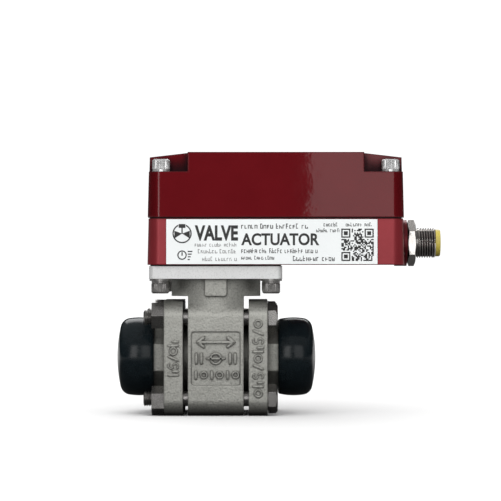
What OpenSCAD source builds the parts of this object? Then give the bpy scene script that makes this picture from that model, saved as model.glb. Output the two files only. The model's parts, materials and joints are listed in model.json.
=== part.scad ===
// Motorized quarter-turn actuator on a three-piece threaded ball valve.
// Frame: +X along the pipe towards the electrical connector, +Y to the back, +Z up the stem.
// Origin: centre of the valve body's underside, on the stem axis. Millimetres.

/* [Valve] */
// Side of the square valve body and its end flanges
valve_size = 45.2; // [44:0.2:54]
// Rounding of the long edges of the body and flanges
valve_corner_r = 6.2; // [3:0.2:8]
// Length of the middle body along the pipe
valve_body_len = 21.8; // [21:0.2:27]
// Visible gap between the body and each flange
flange_gap = 2.0; // [1:0.1:3]
// Thickness of each end flange
flange_t = 7.4; // [6:0.1:10]
// Length of each octagonal end beyond its flange
octagon_len = 17.2; // [16.5:0.1:24]
// Octagon size across flats
octagon_af = 25.4; // [24.5:0.1:28]
// Mean radius of the threaded port
port_r = 9.9; // [8.5:0.1:10.2]
// Depth of the threaded port
port_depth = 15; // [10:0.5:15.5]
// Radius of the flow passage
flow_r = 7.5; // [5:0.1:7.8]
// Radius of the ball
ball_r = 12.5; // [12:0.1:13.2]
// Thickness of the seal between the body and each end
body_seal_t = 1.0; // [0.5:0.1:1.2]

/* [Valve bolts] */
// Distance of each bolt from the flow axis, across and up
bolt_offset = 16.7; // [16.2:0.1:17]
// Radius of the body bolts
bolt_r = 3.0; // [2.5:0.1:3]
// Bolt head and nut size across flats
bolt_af = 10; // [8:0.1:10.5]
// Thickness of the bolt heads
bolt_head_t = 4.0; // [3:0.1:4.2]
// Thickness of the nuts
nut_t = 4.9; // [3.5:0.1:5.5]
// Length of thread showing past the nuts
bolt_stub = 3.2; // [1:0.1:6]

/* [Dust caps] */
// Outer radius of the dust caps
cap_r = 15.6; // [15.3:0.1:16.5]
// Wall of the dust caps
cap_wall = 1.5; // [1:0.1:1.5]
// Free thread-end length left uncovered beside each flange
cap_setback = 4.3; // [4.2:0.1:8]
// Thickness of the closed end over the outer rim of the cavity
cap_end_t = 0.7; // [0.5:0.1:3]
// Rounding between the side and the closed end
cap_corner_r = 4.2; // [3:0.1:5.5]
// Radius of the bulging closed end
cap_dome_r = 55; // [28:1:80]
// Gap between an end fitting and the inside of its dust cap
cap_clearance = 0.2; // [0.1:0.05:0.5]

/* [Stem and pad] */
// Radius of the stem
stem_r = 6.0; // [5:0.1:6.2]
// Square drive size across flats
stem_square = 9.0; // [8:0.1:9.4]
// Length of the square drive
stem_square_len = 9.0; // [7:0.1:10]
// Radius of the neck and of the round mounting pad
pad_r = 22.5; // [21:0.1:24]
// Height of the neck between the valve body and the mounting pad
neck_h = 1.8; // [0.8:0.1:4.8]
// Thickness of the mounting pad
pad_t = 6.8; // [6:0.1:9]
// Half width of the mounting pad along the pipe
pad_half_x = 17.5; // [16.5:0.1:19]
// Bolt circle of the mounting pad
pad_pcd = 36; // [35:0.5:37]
// Radius of the pad screws
pad_screw_r = 2.5; // [2:0.1:2.6]
// Width of the raised rib on the front of the pad
rib_w = 8.6; // [6:0.1:12]
// How far that rib stands out
rib_proud = 1.0; // [0.5:0.1:2]

/* [Marking panel] */
// Width of the recessed panel on the body front
panel_w = 19.2; // [12:0.1:19.6]
// Height of the recessed panel
panel_h = 21.0; // [12:0.1:24]
// Depth of the recessed panel
panel_depth = 0.4; // [0.2:0.05:0.8]

/* [Mounting plate] */
// Side of the square mounting plate
plate_size = 52; // [50:0.5:54]
// Thickness of the mounting plate
plate_t = 5; // [4:0.1:8]
// Thickness of the gasket above the plate
plate_gasket_t = 0.5; // [0.3:0.1:1.5]
// Distance of each plate screw from the stem axis, across and along
plate_screw_offset = 21.7; // [21:0.1:22.2]
// Length of the plate screws under the head
plate_screw_len = 14; // [12:1:15]

/* [Housing] */
// Outside length of the housing
housing_len = 100.4; // [98:0.2:110]
// Outside depth of the housing
housing_w = 54.4; // [53.6:0.2:60]
// Distance from the stem axis to the short end of the housing
housing_back = 26.7; // [26:0.1:28]
// Height of the base housing
base_h = 18.1; // [18:0.1:24]
// Height of the cover
cover_h = 25.5; // [25:0.1:32]
// Rounding of the vertical corners
housing_corner_r = 4.5; // [3.5:0.1:6]
// Lean of the side walls in degrees
side_draft = 1.4; // [0.5:0.1:1.6]
// Wall thickness of the base and cover
wall = 2.6; // [2:0.1:2.8]
// Thickness of the base floor
floor_t = 3.2; // [3:0.1:4]
// Thickness of the gasket between base and cover
cover_gasket_t = 0.4; // [0.3:0.05:0.6]
// Length of the cover's corner notches
notch_len = 15.8; // [14:0.1:17]
// Depth of the cover's corner notches from the front and back
notch_w = 10.4; // [9:0.1:11]
// Height of the notch floors above the cover's bottom edge
notch_floor_h = 17.9; // [14:0.1:18.5]
// Drop of the sloping ends of the cover's top
top_drop = 1.85; // [0.5:0.05:2.2]
// Distance of the cover screws from the ends of the housing
cover_screw_end = 5.3; // [5:0.1:6]
// Distance of the cover screws from the middle plane
cover_screw_offset = 21.8; // [21.2:0.1:22.2]

/* [Small screws] */
// Radius of the housing and plate screws
screw_r = 2.0; // [1.5:0.1:2]
// Head radius of the housing and plate screws
screw_head_r = 3.5; // [3:0.1:3.6]
// Head height of the housing and plate screws
screw_head_t = 4.0; // [2.5:0.1:4]
// Thickness of the flat washers
washer_t = 0.8; // [0.5:0.1:1]
// Thickness of the lock washers
lock_washer_t = 0.9; // [0.6:0.1:1.2]
// Radius of the small internal screws
small_screw_r = 1.5; // [1:0.1:1.5]
// Head radius of the small internal screws
small_head_r = 2.6; // [2:0.1:2.7]

/* [Gear train] */
// Module of the output gear and its pinion
output_module = 1.0; // [0.95:0.01:1.02]
// Teeth on the output gear
output_teeth = 40; // [38:2:40]
// Teeth on the pinion of the intermediate gear
pinion_teeth = 14; // [14:2:16]
// Module of the intermediate wheel and the motor pinion
motor_module = 0.8; // [0.76:0.01:0.82]
// Teeth on the wheel of the intermediate gear
wheel_teeth = 45; // [43:2:45]
// Teeth on the motor pinion
motor_teeth = 15; // [13:2:15]
// Pressure angle of all the gears
pressure_angle = 25; // [20:1:25]
// Play between meshing teeth, along the pitch circle
backlash = 0.14; // [0.1:0.02:0.2]
// Thickness of the output gear
output_gear_t = 6; // [5:0.1:6]
// Thickness of the intermediate wheel
wheel_t = 3; // [2:0.1:3]
// Radius of the intermediate gear's axle
axle_r = 2.0; // [1.5:0.1:2.5]
// Thickness of the gear plate
gear_plate_t = 2.5; // [2:0.1:3]
// Height of the gear plate's underside above the base floor
gear_plate_h = 18; // [17.9:0.1:18.6]

/* [Motor] */
// Outer radius of the motor can
motor_r = 14; // [12:0.1:14.4]
// Height of the motor can
motor_h = 14; // [12:0.1:14]
// Wall of the motor can
motor_wall = 0.8; // [0.5:0.1:1]
// Radius of the motor's rotor
rotor_r = 8; // [6:0.1:8.2]
// Radius of the motor shaft
motor_shaft_r = 1.5; // [1:0.1:2]

/* [Electronics] */
// Length of the control board
board_len = 51.5; // [48:0.5:52]
// Width of the control board
board_w = 38; // [36:0.5:40]
// Thickness of the control board
board_t = 1.6; // [1:0.1:2]
// Height of the control board's underside above the gear plate
board_h = 5; // [4.6:0.1:6]
// Radius of the position magnet
magnet_r = 4; // [3:0.1:5]

/* [Connector] */
// Height of the connector axis above the base's underside
connector_h = 8.6; // [8.3:0.1:9]
// Outer radius of the connector thread
connector_thread_r = 6.0; // [6:0.05:6.2]
// Length of the connector thread
connector_thread_len = 8.0; // [6:0.1:12]
// Connector hexagon size across flats
connector_af = 16; // [15.5:0.1:17]
// Thickness of the connector hexagon
connector_hex_t = 3.2; // [2:0.1:5]
// Radius of the round boss on the housing end
connector_boss_r = 9.2; // [8.4:0.1:9.4]
// Height of that boss
connector_boss_t = 2.2; // [1:0.1:4]
// Length of the insert standing out past the thread
insert_proud = 1.9; // [0.5:0.1:3]
// Radius of the contact pins
pin_r = 0.5; // [0.4:0.05:0.6]
// Radius of the circle that the pins stand on
pin_circle_r = 2.7; // [2:0.1:2.8]

/* [Rating label] */
// Length of the label on the front of the base
label_len = 82.2; // [60:0.2:88]
// Distance from the left end of the housing to the label
label_start = 7.5; // [5:0.1:12]
// Thickness of the label
label_t = 0.15; // [0.1:0.05:0.3]

/* [Clearances] */
// Radial play of a shaft in its bush or bore
running_fit = 0.06; // [0.03:0.01:0.1]
// Radial play of fixed pieces in their holes
seat_fit = 0.02; // [0.01:0.01:0.05]
// Gap between the faces of pieces that move past each other
face_gap = 0.3; // [0.2:0.05:0.4]
// Gap between the ball and its seats
ball_gap = 0.15; // [0.1:0.05:0.3]

/* [Hidden] */
$fn = 64;

// A small overlap that makes cuts run clean through
eps = 0.5;

// Valve stations along X and heights
axis_z = valve_size / 2;
body_x = valve_body_len / 2;
flange_x = body_x + flange_gap;
octagon_x = flange_x + flange_t;
end_x = octagon_x + octagon_len;
octagon_corner_r = octagon_af / 2 / cos(22.5);
end_chamfer = 2.5;
port_chamfer = 0.7;
spigot_r = ball_r + 3.4;
spigot_depth = 1.5;
spigot_x = body_x - spigot_depth;
counterbore_x = spigot_x - body_seal_t;
chamber_r = ball_r + 1.5;
seat_r = ball_r - 1.1;
seat_back_x = ball_r;
seat_front_x = ball_r - 5.5;
pad_z = valve_size + neck_h;
pad_top = pad_z + pad_t;

// Stem stations
ball_top = axis_z + ball_r;
slot_floor = axis_z + flow_r + 1.6;
slot_w = stem_r;
shoulder_r = stem_r + 1.5;
shoulder_z = ball_top + 0.4;
shoulder_t = 2.2;
thrust_washer_t = 0.8;
thrust_z = shoulder_z + shoulder_t + 0.05;
stem_bore_z = thrust_z + thrust_washer_t;
packing_z = stem_bore_z + 4.4;
packing_r = stem_r + 3;
packing_ring_t = 1.8;
packing_rings = 3;
gland_z = packing_z + packing_rings * packing_ring_t;
gland_t = pad_top - gland_z - 1.3;
belleville_t = 0.6;
belleville_rise = 0.4;
belleville_z = gland_z + gland_t + 0.05;
stem_nut_z = belleville_z + 2 * (belleville_t + belleville_rise) + 0.05;
stem_nut_t = 2.6;
stem_nut_af = 15;
square_z = stem_nut_z + stem_nut_t;
stem_top = square_z + stem_square_len;

// Mounting plate and housing heights
plate_z = pad_top;
plate_top = plate_z + plate_t;
base_z = plate_top + plate_gasket_t;
floor_z = base_z + floor_t;
rim_z = base_z + base_h;
cover_z = rim_z + cover_gasket_t;
notch_z = cover_z + notch_floor_h;
top_z = cover_z + cover_h;

// Housing ends and screw columns
housing_x0 = -housing_back;
housing_x1 = housing_x0 + housing_len;
housing_y = housing_w / 2;
column_r = screw_head_r + 0.6;
cover_screw_x0 = housing_x0 + cover_screw_end;
cover_screw_x1 = housing_x1 - cover_screw_end;
cover_screw_places = [
    for (x = [cover_screw_x0, cover_screw_x1], y = [-cover_screw_offset, cover_screw_offset]) [x, y]
];
plate_screw_places = [for (sx = [-1, 1], sy = [-1, 1]) plate_screw_offset * [sx, sy]];

// Output shaft and gear stations
hub_r = stem_r + 3;
shaft_r = stem_r;
hub_z = base_z + face_gap;
bush_wall = 2;
bush_r = hub_r + bush_wall;
bearing_boss_r = bush_r + 2;
bearing_top = floor_z + 5.5;
seal_t = floor_t - face_gap;
socket_play = 0.08;
ring_z = bearing_top + face_gap;
ring_t = 1.0;
gear_z = ring_z + ring_t + 0.7;
gear_seat_r = shaft_r + 0.5;
gear_flat = gear_seat_r - 1.2;
gear_plate_z = floor_z + gear_plate_h;
gear_plate_top = gear_plate_z + gear_plate_t;
shaft_top = gear_plate_top + 1;

output_pitch_r = output_module * output_teeth / 2;
pinion_pitch_r = output_module * pinion_teeth / 2;
wheel_pitch_r = motor_module * wheel_teeth / 2;
motor_pitch_r = motor_module * motor_teeth / 2;
axle_x = output_pitch_r + pinion_pitch_r;
motor_x = axle_x + wheel_pitch_r + motor_pitch_r;
axle_boss_top = gear_z - 1;
pinion_z = axle_boss_top + face_gap;
wheel_z = gear_z + output_gear_t + 0.8;
motor_pinion_z = wheel_z - 0.4;
motor_pinion_top = gear_plate_z - face_gap;

// Gear plate outline and its posts
plate_x0 = -16;
plate_step_x = 24;
plate_x1 = 68;
plate_wide_y = 23;
plate_narrow_y = 17;
standoff_r = 2.5;
standoff_places = [
    for (sy = [-1, 1]) each [[-13, sy * 20.4], [16.5, sy * 20.4], [64, sy * 13.5]]
];
small_head_t = 1.6;
motor_ear_y = motor_r + 3.6;
pilot_r = 5;

// Motor stations
motor_flange_t = 1;
motor_z = gear_plate_top + motor_flange_t;
motor_top = motor_z + motor_h;

// Board stations
board_z = gear_plate_top + board_h;
board_top = board_z + board_t;
board_x0 = plate_x0;
board_x1 = board_x0 + board_len;
board_hole_inset = 3.9;
board_places = [
    for (x = [board_x0 + board_hole_inset, board_x1 - board_hole_inset], sy = [-1, 1])
        [x, sy * (board_w / 2 - board_hole_inset)]
];
magnet_t = 2.5;
sensor_z = shaft_top + magnet_t + face_gap;
terminal_x0 = 6;
terminal_w = 20;
terminal_d = 6;
terminal_h = 8;
header_w = 12;
header_d = 5;
header_h = 5;

// Connector stations
connector_z = base_z + connector_h;
connector_boss_x = housing_x1 + connector_boss_t;
connector_seal_t = 0.3;
hex_x = connector_boss_x + connector_seal_t;
thread_x = hex_x + connector_hex_t;
thread_end_x = thread_x + connector_thread_len;
insert_end_x = thread_end_x + insert_proud;
rear_thread_r = connector_thread_r + 1;
connector_pad_x = housing_x1 - wall - 4.6;
insert_r = connector_thread_r - 0.65;
insert_rear_x = connector_pad_x - 1;
cup_r = insert_r - 1.1;
cup_floor_x = thread_x + 1.2;
pin_end_x = insert_end_x - 1.5;
pin_rear_x = insert_rear_x - 1.5;
pin_count = 4;
pin_places = [for (k = [0 : pin_count - 1]) pin_circle_r * [cos(45 + 90 * k), sin(45 + 90 * k)]];
lead_r = 0.55;
lead_play = 0.25;

// ---------------------------------------------------------------- shared shapes

// Turns a shape drawn along +Z so that it runs along +X
module along_x() {
    rotate([90, 0, 90]) children();
}

// Rectangle with rounded corners, centred
module rounded_square(size, r) {
    square([size[0] - 2 * r, size[1]], center = true);
    square([size[0], size[1] - 2 * r], center = true);
    for (sx = [-1, 1], sy = [-1, 1])
        translate([sx * (size[0] / 2 - r), sy * (size[1] / 2 - r)]) circle(r);
}

// Upright block with rounded vertical edges between two corners
module rounded_block(x0, x1, half_y, z0, z1, r) {
    translate([(x0 + x1) / 2, 0, z0])
        linear_extrude(z1 - z0) rounded_square([x1 - x0, 2 * half_y], r);
}

// Block whose four sides lean inwards as they rise
module drafted_block(x0, x1, half_y, z0, z1, r) {
    lean = (z1 - z0) * tan(side_draft);
    h = z1 - z0;
    for (x = [x0 + r, x1 - r], y = [r - half_y, half_y - r])
        translate([x, y, z0]) cylinder(r1 = r, r2 = r - lean, h = h);
    translate([x0 + r, 0, 0]) along_x() linear_extrude(x1 - x0 - 2 * r)
        polygon([[-half_y, z0], [half_y, z0], [half_y - lean, z1], [lean - half_y, z1]]);
    translate([0, half_y - r, 0]) rotate([90, 0, 0]) linear_extrude(2 * (half_y - r))
        polygon([[x0, z0], [x1, z0], [x1 - lean, z1], [x0 + lean, z1]]);
}

// Upright ring
module ring(outer, inner, h) {
    difference() {
        cylinder(r = outer, h = h);
        translate([0, 0, -eps]) cylinder(r = inner, h = h + 2 * eps);
    }
}

// Hexagonal prism measured across its flats, with turned corners on its far face
module hex_prism(af, h) {
    intersection() {
        cylinder(r = af / 2 / cos(30), h = h, $fn = 6);
        cylinder(r1 = af / 2 * 1.155 + h, r2 = af / 2 * 0.985, h = h + af * 0.085);
    }
}

// Socket-head screw pointing down, head underside at the origin
module socket_screw(r, head_r, head_t, len) {
    difference() {
        union() {
            translate([0, 0, head_t - 0.4]) cylinder(r1 = head_r, r2 = head_r - 0.4, h = 0.4);
            cylinder(r = head_r, h = head_t - 0.4);
            translate([0, 0, -len]) cylinder(r = r, h = len + 0.1);
        }
        translate([0, 0, head_t - head_r * 0.6])
            cylinder(r = head_r * 0.5, h = head_t, $fn = 6);
    }
}

// Small pan-head screw pointing down, head underside at the origin
module pan_screw(r, head_r, head_t, len) {
    difference() {
        union() {
            cylinder(r1 = head_r, r2 = head_r - 0.5, h = head_t);
            translate([0, 0, -len]) cylinder(r = r, h = len + 0.1);
        }
        translate([0, 0, head_t / 2 + 0.2])
            for (a = [0, 90]) rotate([0, 0, a])
                translate([0, 0, head_t / 2]) cube([head_r, 0.6, head_t], center = true);
    }
}

// Repeats a piece at a list of places on a level plane
module at_places(places, z) {
    for (p = places) translate([p[0], p[1], z]) children();
}

// Repeats a piece on both sides of the body, pointing outwards
module on_both_ends() {
    children();
    mirror([1, 0, 0]) children();
}

function unit(v) = v / norm(v);

// Route with each inner corner replaced by a short curve that starts and ends at distance reach
function eased_route(points, reach) = concat(
    [points[0]],
    [for (k = [1 : len(points) - 2]) let (
        p = points[k],
        a = p + reach * unit(points[k - 1] - p),
        b = p + reach * unit(points[k + 1] - p)
    ) for (t = [0 : 0.25 : 1]) (1 - t) * (1 - t) * a + 2 * t * (1 - t) * p + t * t * b],
    [points[len(points) - 1]]
);

// Insulated lead along a route: one closed skin of flat facets
module lead(points, r, reach) {
    sides = 8;
    steady = unit([1, 1.1, 0.9]);
    route = eased_route(points, reach);
    last = len(route) - 1;
    rings = [for (k = [0 : last]) let (
        ahead = unit(route[min(k + 1, last)] - route[max(k - 1, 0)]),
        across = unit(cross(ahead, steady)),
        up = cross(ahead, across)
    ) for (s = [0 : sides - 1]) route[k] + r * (cos(360 * s / sides) * across + sin(360 * s / sides) * up)];
    polyhedron(rings, concat(
        [[for (s = [0 : sides - 1]) s]],
        [for (k = [0 : last - 1], s = [0 : sides - 1]) let (
            n = (s + 1) % sides,
            a = k * sides,
            b = a + sides
        ) [a + s, b + s, b + n, a + n]],
        [[for (s = [sides - 1 : -1 : 0]) last * sides + s]]
    ));
}

// ---------------------------------------------------------------- gear teeth

flank_steps = 4;

// Involute function, in degrees
function involute(a) = tan(a) * 180 / PI - a;

// Half of a tooth's angle at radius r
function half_tooth(r, pitch_r, teeth) =
    90 / teeth - backlash / 4 / pitch_r * 180 / PI
    + involute(pressure_angle) - involute(acos(min(1, pitch_r * cos(pressure_angle) / r)));

function polar(r, a) = [r * cos(a), r * sin(a)];

// One tooth centred on angle a, from root to root
function tooth_points(m, teeth, a) =
    let (
        pitch_r = m * teeth / 2,
        base_r = pitch_r * cos(pressure_angle),
        root_r = pitch_r - 1.25 * m,
        tip_r = pitch_r + m,
        start_r = max(base_r, root_r + 0.05),
        radii = [for (k = [0 : flank_steps]) start_r + (tip_r - start_r) * k / flank_steps],
        root_half = half_tooth(start_r, pitch_r, teeth)
    )
    concat(
        [polar(root_r, a - root_half)],
        [for (r = radii) polar(r, a - half_tooth(r, pitch_r, teeth))],
        [for (k = [flank_steps : -1 : 0])
            polar(radii[k], a + half_tooth(radii[k], pitch_r, teeth))],
        [polar(root_r, a + root_half)]
    );

// Toothed disc, with one tooth centred on angle phase
module gear_blank(m, teeth, t, phase = 0) {
    linear_extrude(t)
        polygon([for (k = [0 : teeth - 1]) each tooth_points(m, teeth, phase + 360 * k / teeth)]);
}

// ---------------------------------------------------------------- valve

// Square bar along X, with rounded long edges
module square_bar(x0, x1) {
    translate([x0, 0, axis_z]) along_x() linear_extrude(x1 - x0)
        rounded_square([valve_size, valve_size], valve_corner_r);
}

// Round bar or bore along X on the flow axis
module flow_cylinder(x0, x1, r) {
    translate([x0, 0, axis_z]) along_x() cylinder(r = r, h = x1 - x0);
}

module bolt_places() {
    for (sy = [-1, 1], sz = [-1, 1])
        translate([0, sy * bolt_offset, axis_z + sz * bolt_offset]) children();
}

module bolt_bores(x0, x1) {
    bolt_places() translate([x0, 0, 0]) along_x() cylinder(r = bolt_r + 0.15, h = x1 - x0);
}

// Slice of a disc on the stem axis, cut off at both sides along the pipe
module clipped_disc(r, half_x, z0, z1) {
    translate([0, 0, z0]) intersection() {
        cylinder(r = r, h = z1 - z0, $fn = 96);
        translate([-half_x, -r - 1, 0]) cube([2 * half_x, 2 * r + 2, z1 - z0]);
    }
}

module pad_rib() {
    rib_y = pad_r + rib_proud;
    translate([0, 4 - rib_y, pad_top - pad_t / 2]) rotate([90, 0, 0])
        linear_extrude(4) {
            rounded_square([rib_w, pad_t], 1);
            translate([-rib_w / 2, 0]) square([rib_w, pad_t / 2]);
        }
}

module marking_panel() {
    panel_y = panel_depth - valve_size / 2;
    translate([0, panel_y, axis_z]) rotate([90, 0, 0])
        linear_extrude(panel_depth + eps) rounded_square([panel_w, panel_h], 1.2);
}

module valve_body() {
    color([0.66, 0.65, 0.61]) difference() {
        union() {
            square_bar(-body_x, body_x);
            clipped_disc(pad_r, body_x, axis_z + 4, pad_z + 1);
            clipped_disc(pad_r, pad_half_x, pad_z, pad_top);
            pad_rib();
        }
        marking_panel();
        flow_cylinder(-body_x - eps, body_x + eps, chamber_r);
        flow_cylinder(-body_x - eps, -counterbore_x, spigot_r + 0.1);
        flow_cylinder(counterbore_x, body_x + eps, spigot_r + 0.1);
        bolt_bores(-body_x - eps, body_x + eps);
        translate([0, 0, axis_z]) cylinder(r = shoulder_r + 0.3, h = stem_bore_z - axis_z);
        translate([0, 0, axis_z]) cylinder(r = stem_r + running_fit, h = valve_size);
        translate([0, 0, packing_z]) cylinder(r = packing_r, h = valve_size);
        for (a = [45 : 90 : 315])
            rotate([0, 0, a]) translate([pad_pcd / 2, 0, pad_z - eps])
                cylinder(r = pad_screw_r + seat_fit, h = pad_t + 2 * eps);
    }
}

// End fitting on the +X side: flange, octagonal threaded end and spigot
module end_fitting() {
    difference() {
        union() {
            square_bar(flange_x, octagon_x);
            flow_cylinder(spigot_x, flange_x + 1, spigot_r);
            intersection() {
                translate([octagon_x - 1, 0, axis_z]) along_x() rotate([0, 0, 22.5])
                    cylinder(r = octagon_corner_r, h = octagon_len + 1, $fn = 8);
                translate([octagon_x - 1, 0, axis_z]) along_x() cylinder(
                    r1 = octagon_corner_r + octagon_len + 1 - end_chamfer,
                    r2 = octagon_corner_r - end_chamfer,
                    h = octagon_len + 1
                );
            }
        }
        flow_cylinder(spigot_x - eps, end_x + eps, flow_r);
        flow_cylinder(end_x - port_depth, end_x + eps, port_r);
        flow_cylinder(spigot_x - eps, seat_back_x, seat_r + seat_fit);
        translate([end_x - port_chamfer, 0, axis_z]) along_x()
            cylinder(r1 = port_r, r2 = port_r + 2 * port_chamfer, h = 2 * port_chamfer);
        bolt_bores(flange_x - eps, octagon_x + eps);
    }
}

module left_end_fitting() {
    color([0.68, 0.67, 0.63]) mirror([1, 0, 0]) end_fitting();
}

module right_end_fitting() {
    color([0.68, 0.67, 0.63]) end_fitting();
}

module body_bolts() {
    bolt_len = 2 * octagon_x + nut_t + bolt_stub;
    color([0.72, 0.72, 0.7]) bolt_places() {
        translate([octagon_x, 0, 0]) along_x() hex_prism(bolt_af, bolt_head_t);
        translate([octagon_x - bolt_len, 0, 0]) along_x() {
            translate([0, 0, 0.6]) cylinder(r = bolt_r, h = bolt_len - 0.5);
            cylinder(r1 = bolt_r - 0.6, r2 = bolt_r, h = 0.6);
        }
    }
}

module body_nuts() {
    nut_turns = [0, 30, 18, 12];
    color([0.62, 0.61, 0.58]) for (k = [0 : 3]) {
        sy = k < 2 ? -1 : 1;
        sz = k % 2 == 0 ? 1 : -1;
        translate([-octagon_x, sy * bolt_offset, axis_z + sz * bolt_offset])
            mirror([1, 0, 0]) along_x() rotate([0, 0, nut_turns[k]]) difference() {
                hex_prism(bolt_af, nut_t);
                translate([0, 0, -eps]) cylinder(r = bolt_r + seat_fit, h = nut_t + 2 * eps);
            }
    }
}

module ball() {
    color([0.8, 0.8, 0.8]) difference() {
        translate([0, 0, axis_z]) sphere(ball_r);
        flow_cylinder(-ball_r - eps, ball_r + eps, flow_r);
        translate([-slot_w / 2, -ball_r, slot_floor]) cube([slot_w, 2 * ball_r, ball_r]);
    }
}

// Seat ring on the +X side, with a hollow face that follows the ball
module seat() {
    difference() {
        flow_cylinder(seat_front_x, seat_back_x, seat_r);
        flow_cylinder(seat_front_x - eps, seat_back_x + eps, flow_r);
        translate([0, 0, axis_z]) sphere(ball_r + ball_gap);
    }
}

module left_seat() {
    color([0.95, 0.95, 0.92]) mirror([1, 0, 0]) seat();
}

module right_seat() {
    color([0.95, 0.95, 0.92]) seat();
}

module body_seals() {
    color([0.93, 0.93, 0.9]) on_both_ends() difference() {
        flow_cylinder(counterbore_x, spigot_x, spigot_r);
        flow_cylinder(counterbore_x - eps, spigot_x + eps, chamber_r + 0.1);
    }
}

module stem() {
    tang_t = slot_w - 0.2;
    tang_l = 2 * stem_r;
    color([0.75, 0.75, 0.74]) {
        translate([-tang_t / 2, -tang_l / 2, slot_floor + 0.1])
            cube([tang_t, tang_l, shoulder_z - slot_floor]);
        translate([0, 0, shoulder_z]) cylinder(r = shoulder_r, h = shoulder_t);
        translate([0, 0, shoulder_z]) cylinder(r = stem_r, h = square_z - shoulder_z);
        intersection() {
            translate([0, 0, shoulder_z]) cylinder(r = stem_r, h = stem_top - shoulder_z);
            translate([-stem_square / 2, -stem_square / 2, shoulder_z])
                cube([stem_square, stem_square, stem_top - shoulder_z]);
        }
    }
}

module stem_thrust_washer() {
    color([0.9, 0.9, 0.86]) translate([0, 0, thrust_z])
        ring(shoulder_r + 0.2, stem_r + running_fit, thrust_washer_t - 0.02);
}

module stem_packing() {
    r0 = stem_r + running_fit;
    r1 = packing_r - seat_fit;
    rise = 0.5;
    t = packing_ring_t - 0.02;
    color([0.92, 0.92, 0.88]) for (k = [0 : packing_rings - 1])
        translate([0, 0, packing_z + k * packing_ring_t]) rotate_extrude()
            polygon([
                [r0, 0], [(r0 + r1) / 2, k == 0 ? 0 : rise], [r1, 0],
                [r1, t], [(r0 + r1) / 2, k == packing_rings - 1 ? t : t + rise], [r0, t]
            ]);
}

module gland_ring() {
    color([0.7, 0.7, 0.68]) translate([0, 0, gland_z])
        ring(packing_r - 2 * seat_fit, stem_r + running_fit, gland_t);
}

module belleville_washers() {
    r0 = stem_r + seat_fit;
    r1 = packing_r - 0.15;
    t = belleville_t;
    rise = belleville_rise;
    color([0.55, 0.55, 0.56]) {
        translate([0, 0, belleville_z]) rotate_extrude()
            polygon([[r0, rise], [r1, 0], [r1, t], [r0, t + rise]]);
        translate([0, 0, belleville_z + t + rise]) rotate_extrude()
            polygon([[r0, 0], [r1, rise], [r1, t + rise], [r0, t]]);
    }
}

module stem_nut() {
    color([0.6, 0.6, 0.6]) translate([0, 0, stem_nut_z]) difference() {
        hex_prism(stem_nut_af, stem_nut_t);
        translate([0, 0, -eps]) cylinder(r = stem_r + seat_fit, h = stem_nut_t + 2 * eps);
    }
}

// Arc in radius and distance along the cap, centred at distance cx and radius cr
function cap_arc(cx, cr, r, a0, a1, n) =
    [for (k = [0 : n]) let (a = a0 + (a1 - a0) * k / n) [cr + r * cos(a), cx + r * sin(a)]];

// Dust cap for the +X end: the side meets the bulging end in a tangent round corner
module dust_cap() {
    open_x = octagon_x + cap_setback;
    inner_end = end_x + cap_clearance - open_x;
    inner_r = cap_r - cap_wall;
    inner_rim_r = inner_r - end_chamfer + 0.2;
    dome_drop = cap_dome_r - sqrt(pow(cap_dome_r, 2) - pow(inner_rim_r, 2));
    length = inner_end + cap_end_t + dome_drop;
    corner_c = cap_r - cap_corner_r;
    corner_reach = cap_dome_r - cap_corner_r;
    corner_a = acos(corner_c / corner_reach);
    corner_x = length - cap_dome_r + corner_reach * sin(corner_a);
    side = cap_arc(corner_x, corner_c, cap_corner_r, 0, corner_a, 8);
    dome = cap_arc(length - cap_dome_r, 0, cap_dome_r, corner_a, 90, 6);
    translate([open_x, 0, axis_z]) along_x() rotate_extrude($fn = 96)
        difference() {
            polygon(concat([[0, 0], [cap_r, 0]], side, [for (k = [1 : 6]) dome[k]]));
            polygon([
                [-1, -1], [inner_r, -1], [inner_r, inner_end - end_chamfer - 0.7],
                [inner_rim_r, inner_end], [-1, inner_end]
            ]);
        }
}

module left_dust_cap() {
    color([0.09, 0.1, 0.12]) mirror([1, 0, 0]) dust_cap();
}

module right_dust_cap() {
    color([0.09, 0.1, 0.12]) dust_cap();
}

// ---------------------------------------------------------------- mounting

module mounting_plate() {
    nut_room = stem_nut_af / 2 / cos(30) + 1;
    head_r = pad_screw_r * 1.85;
    head_t = pad_screw_r * 1.1;
    color([0.85, 0.86, 0.87]) difference() {
        rounded_block(-plate_size / 2, plate_size / 2, plate_size / 2, plate_z, plate_top, 2);
        translate([0, 0, plate_z - eps]) cylinder(r = nut_room, h = plate_t + 2 * eps);
        at_places(plate_screw_places, plate_z - eps) cylinder(r = screw_r + 0.2, h = plate_t + 2 * eps);
        for (a = [45 : 90 : 315]) rotate([0, 0, a]) translate([pad_pcd / 2, 0, plate_z]) {
            translate([0, 0, -eps]) cylinder(r = pad_screw_r + 0.15, h = plate_t + 2 * eps);
            translate([0, 0, plate_t - head_t]) cylinder(r1 = pad_screw_r, r2 = head_r, h = head_t);
            translate([0, 0, plate_t]) cylinder(r = head_r, h = eps);
        }
    }
}

module plate_gasket() {
    size = plate_size - 1;
    color([0.12, 0.12, 0.12]) difference() {
        rounded_block(-size / 2, size / 2, size / 2, plate_top, base_z, 1.5);
        translate([0, 0, plate_top - eps]) cylinder(r = bush_r + 1, h = plate_gasket_t + 2 * eps);
        at_places(plate_screw_places, plate_top - eps)
            cylinder(r = screw_r + 0.2, h = plate_gasket_t + 2 * eps);
    }
}

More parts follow.
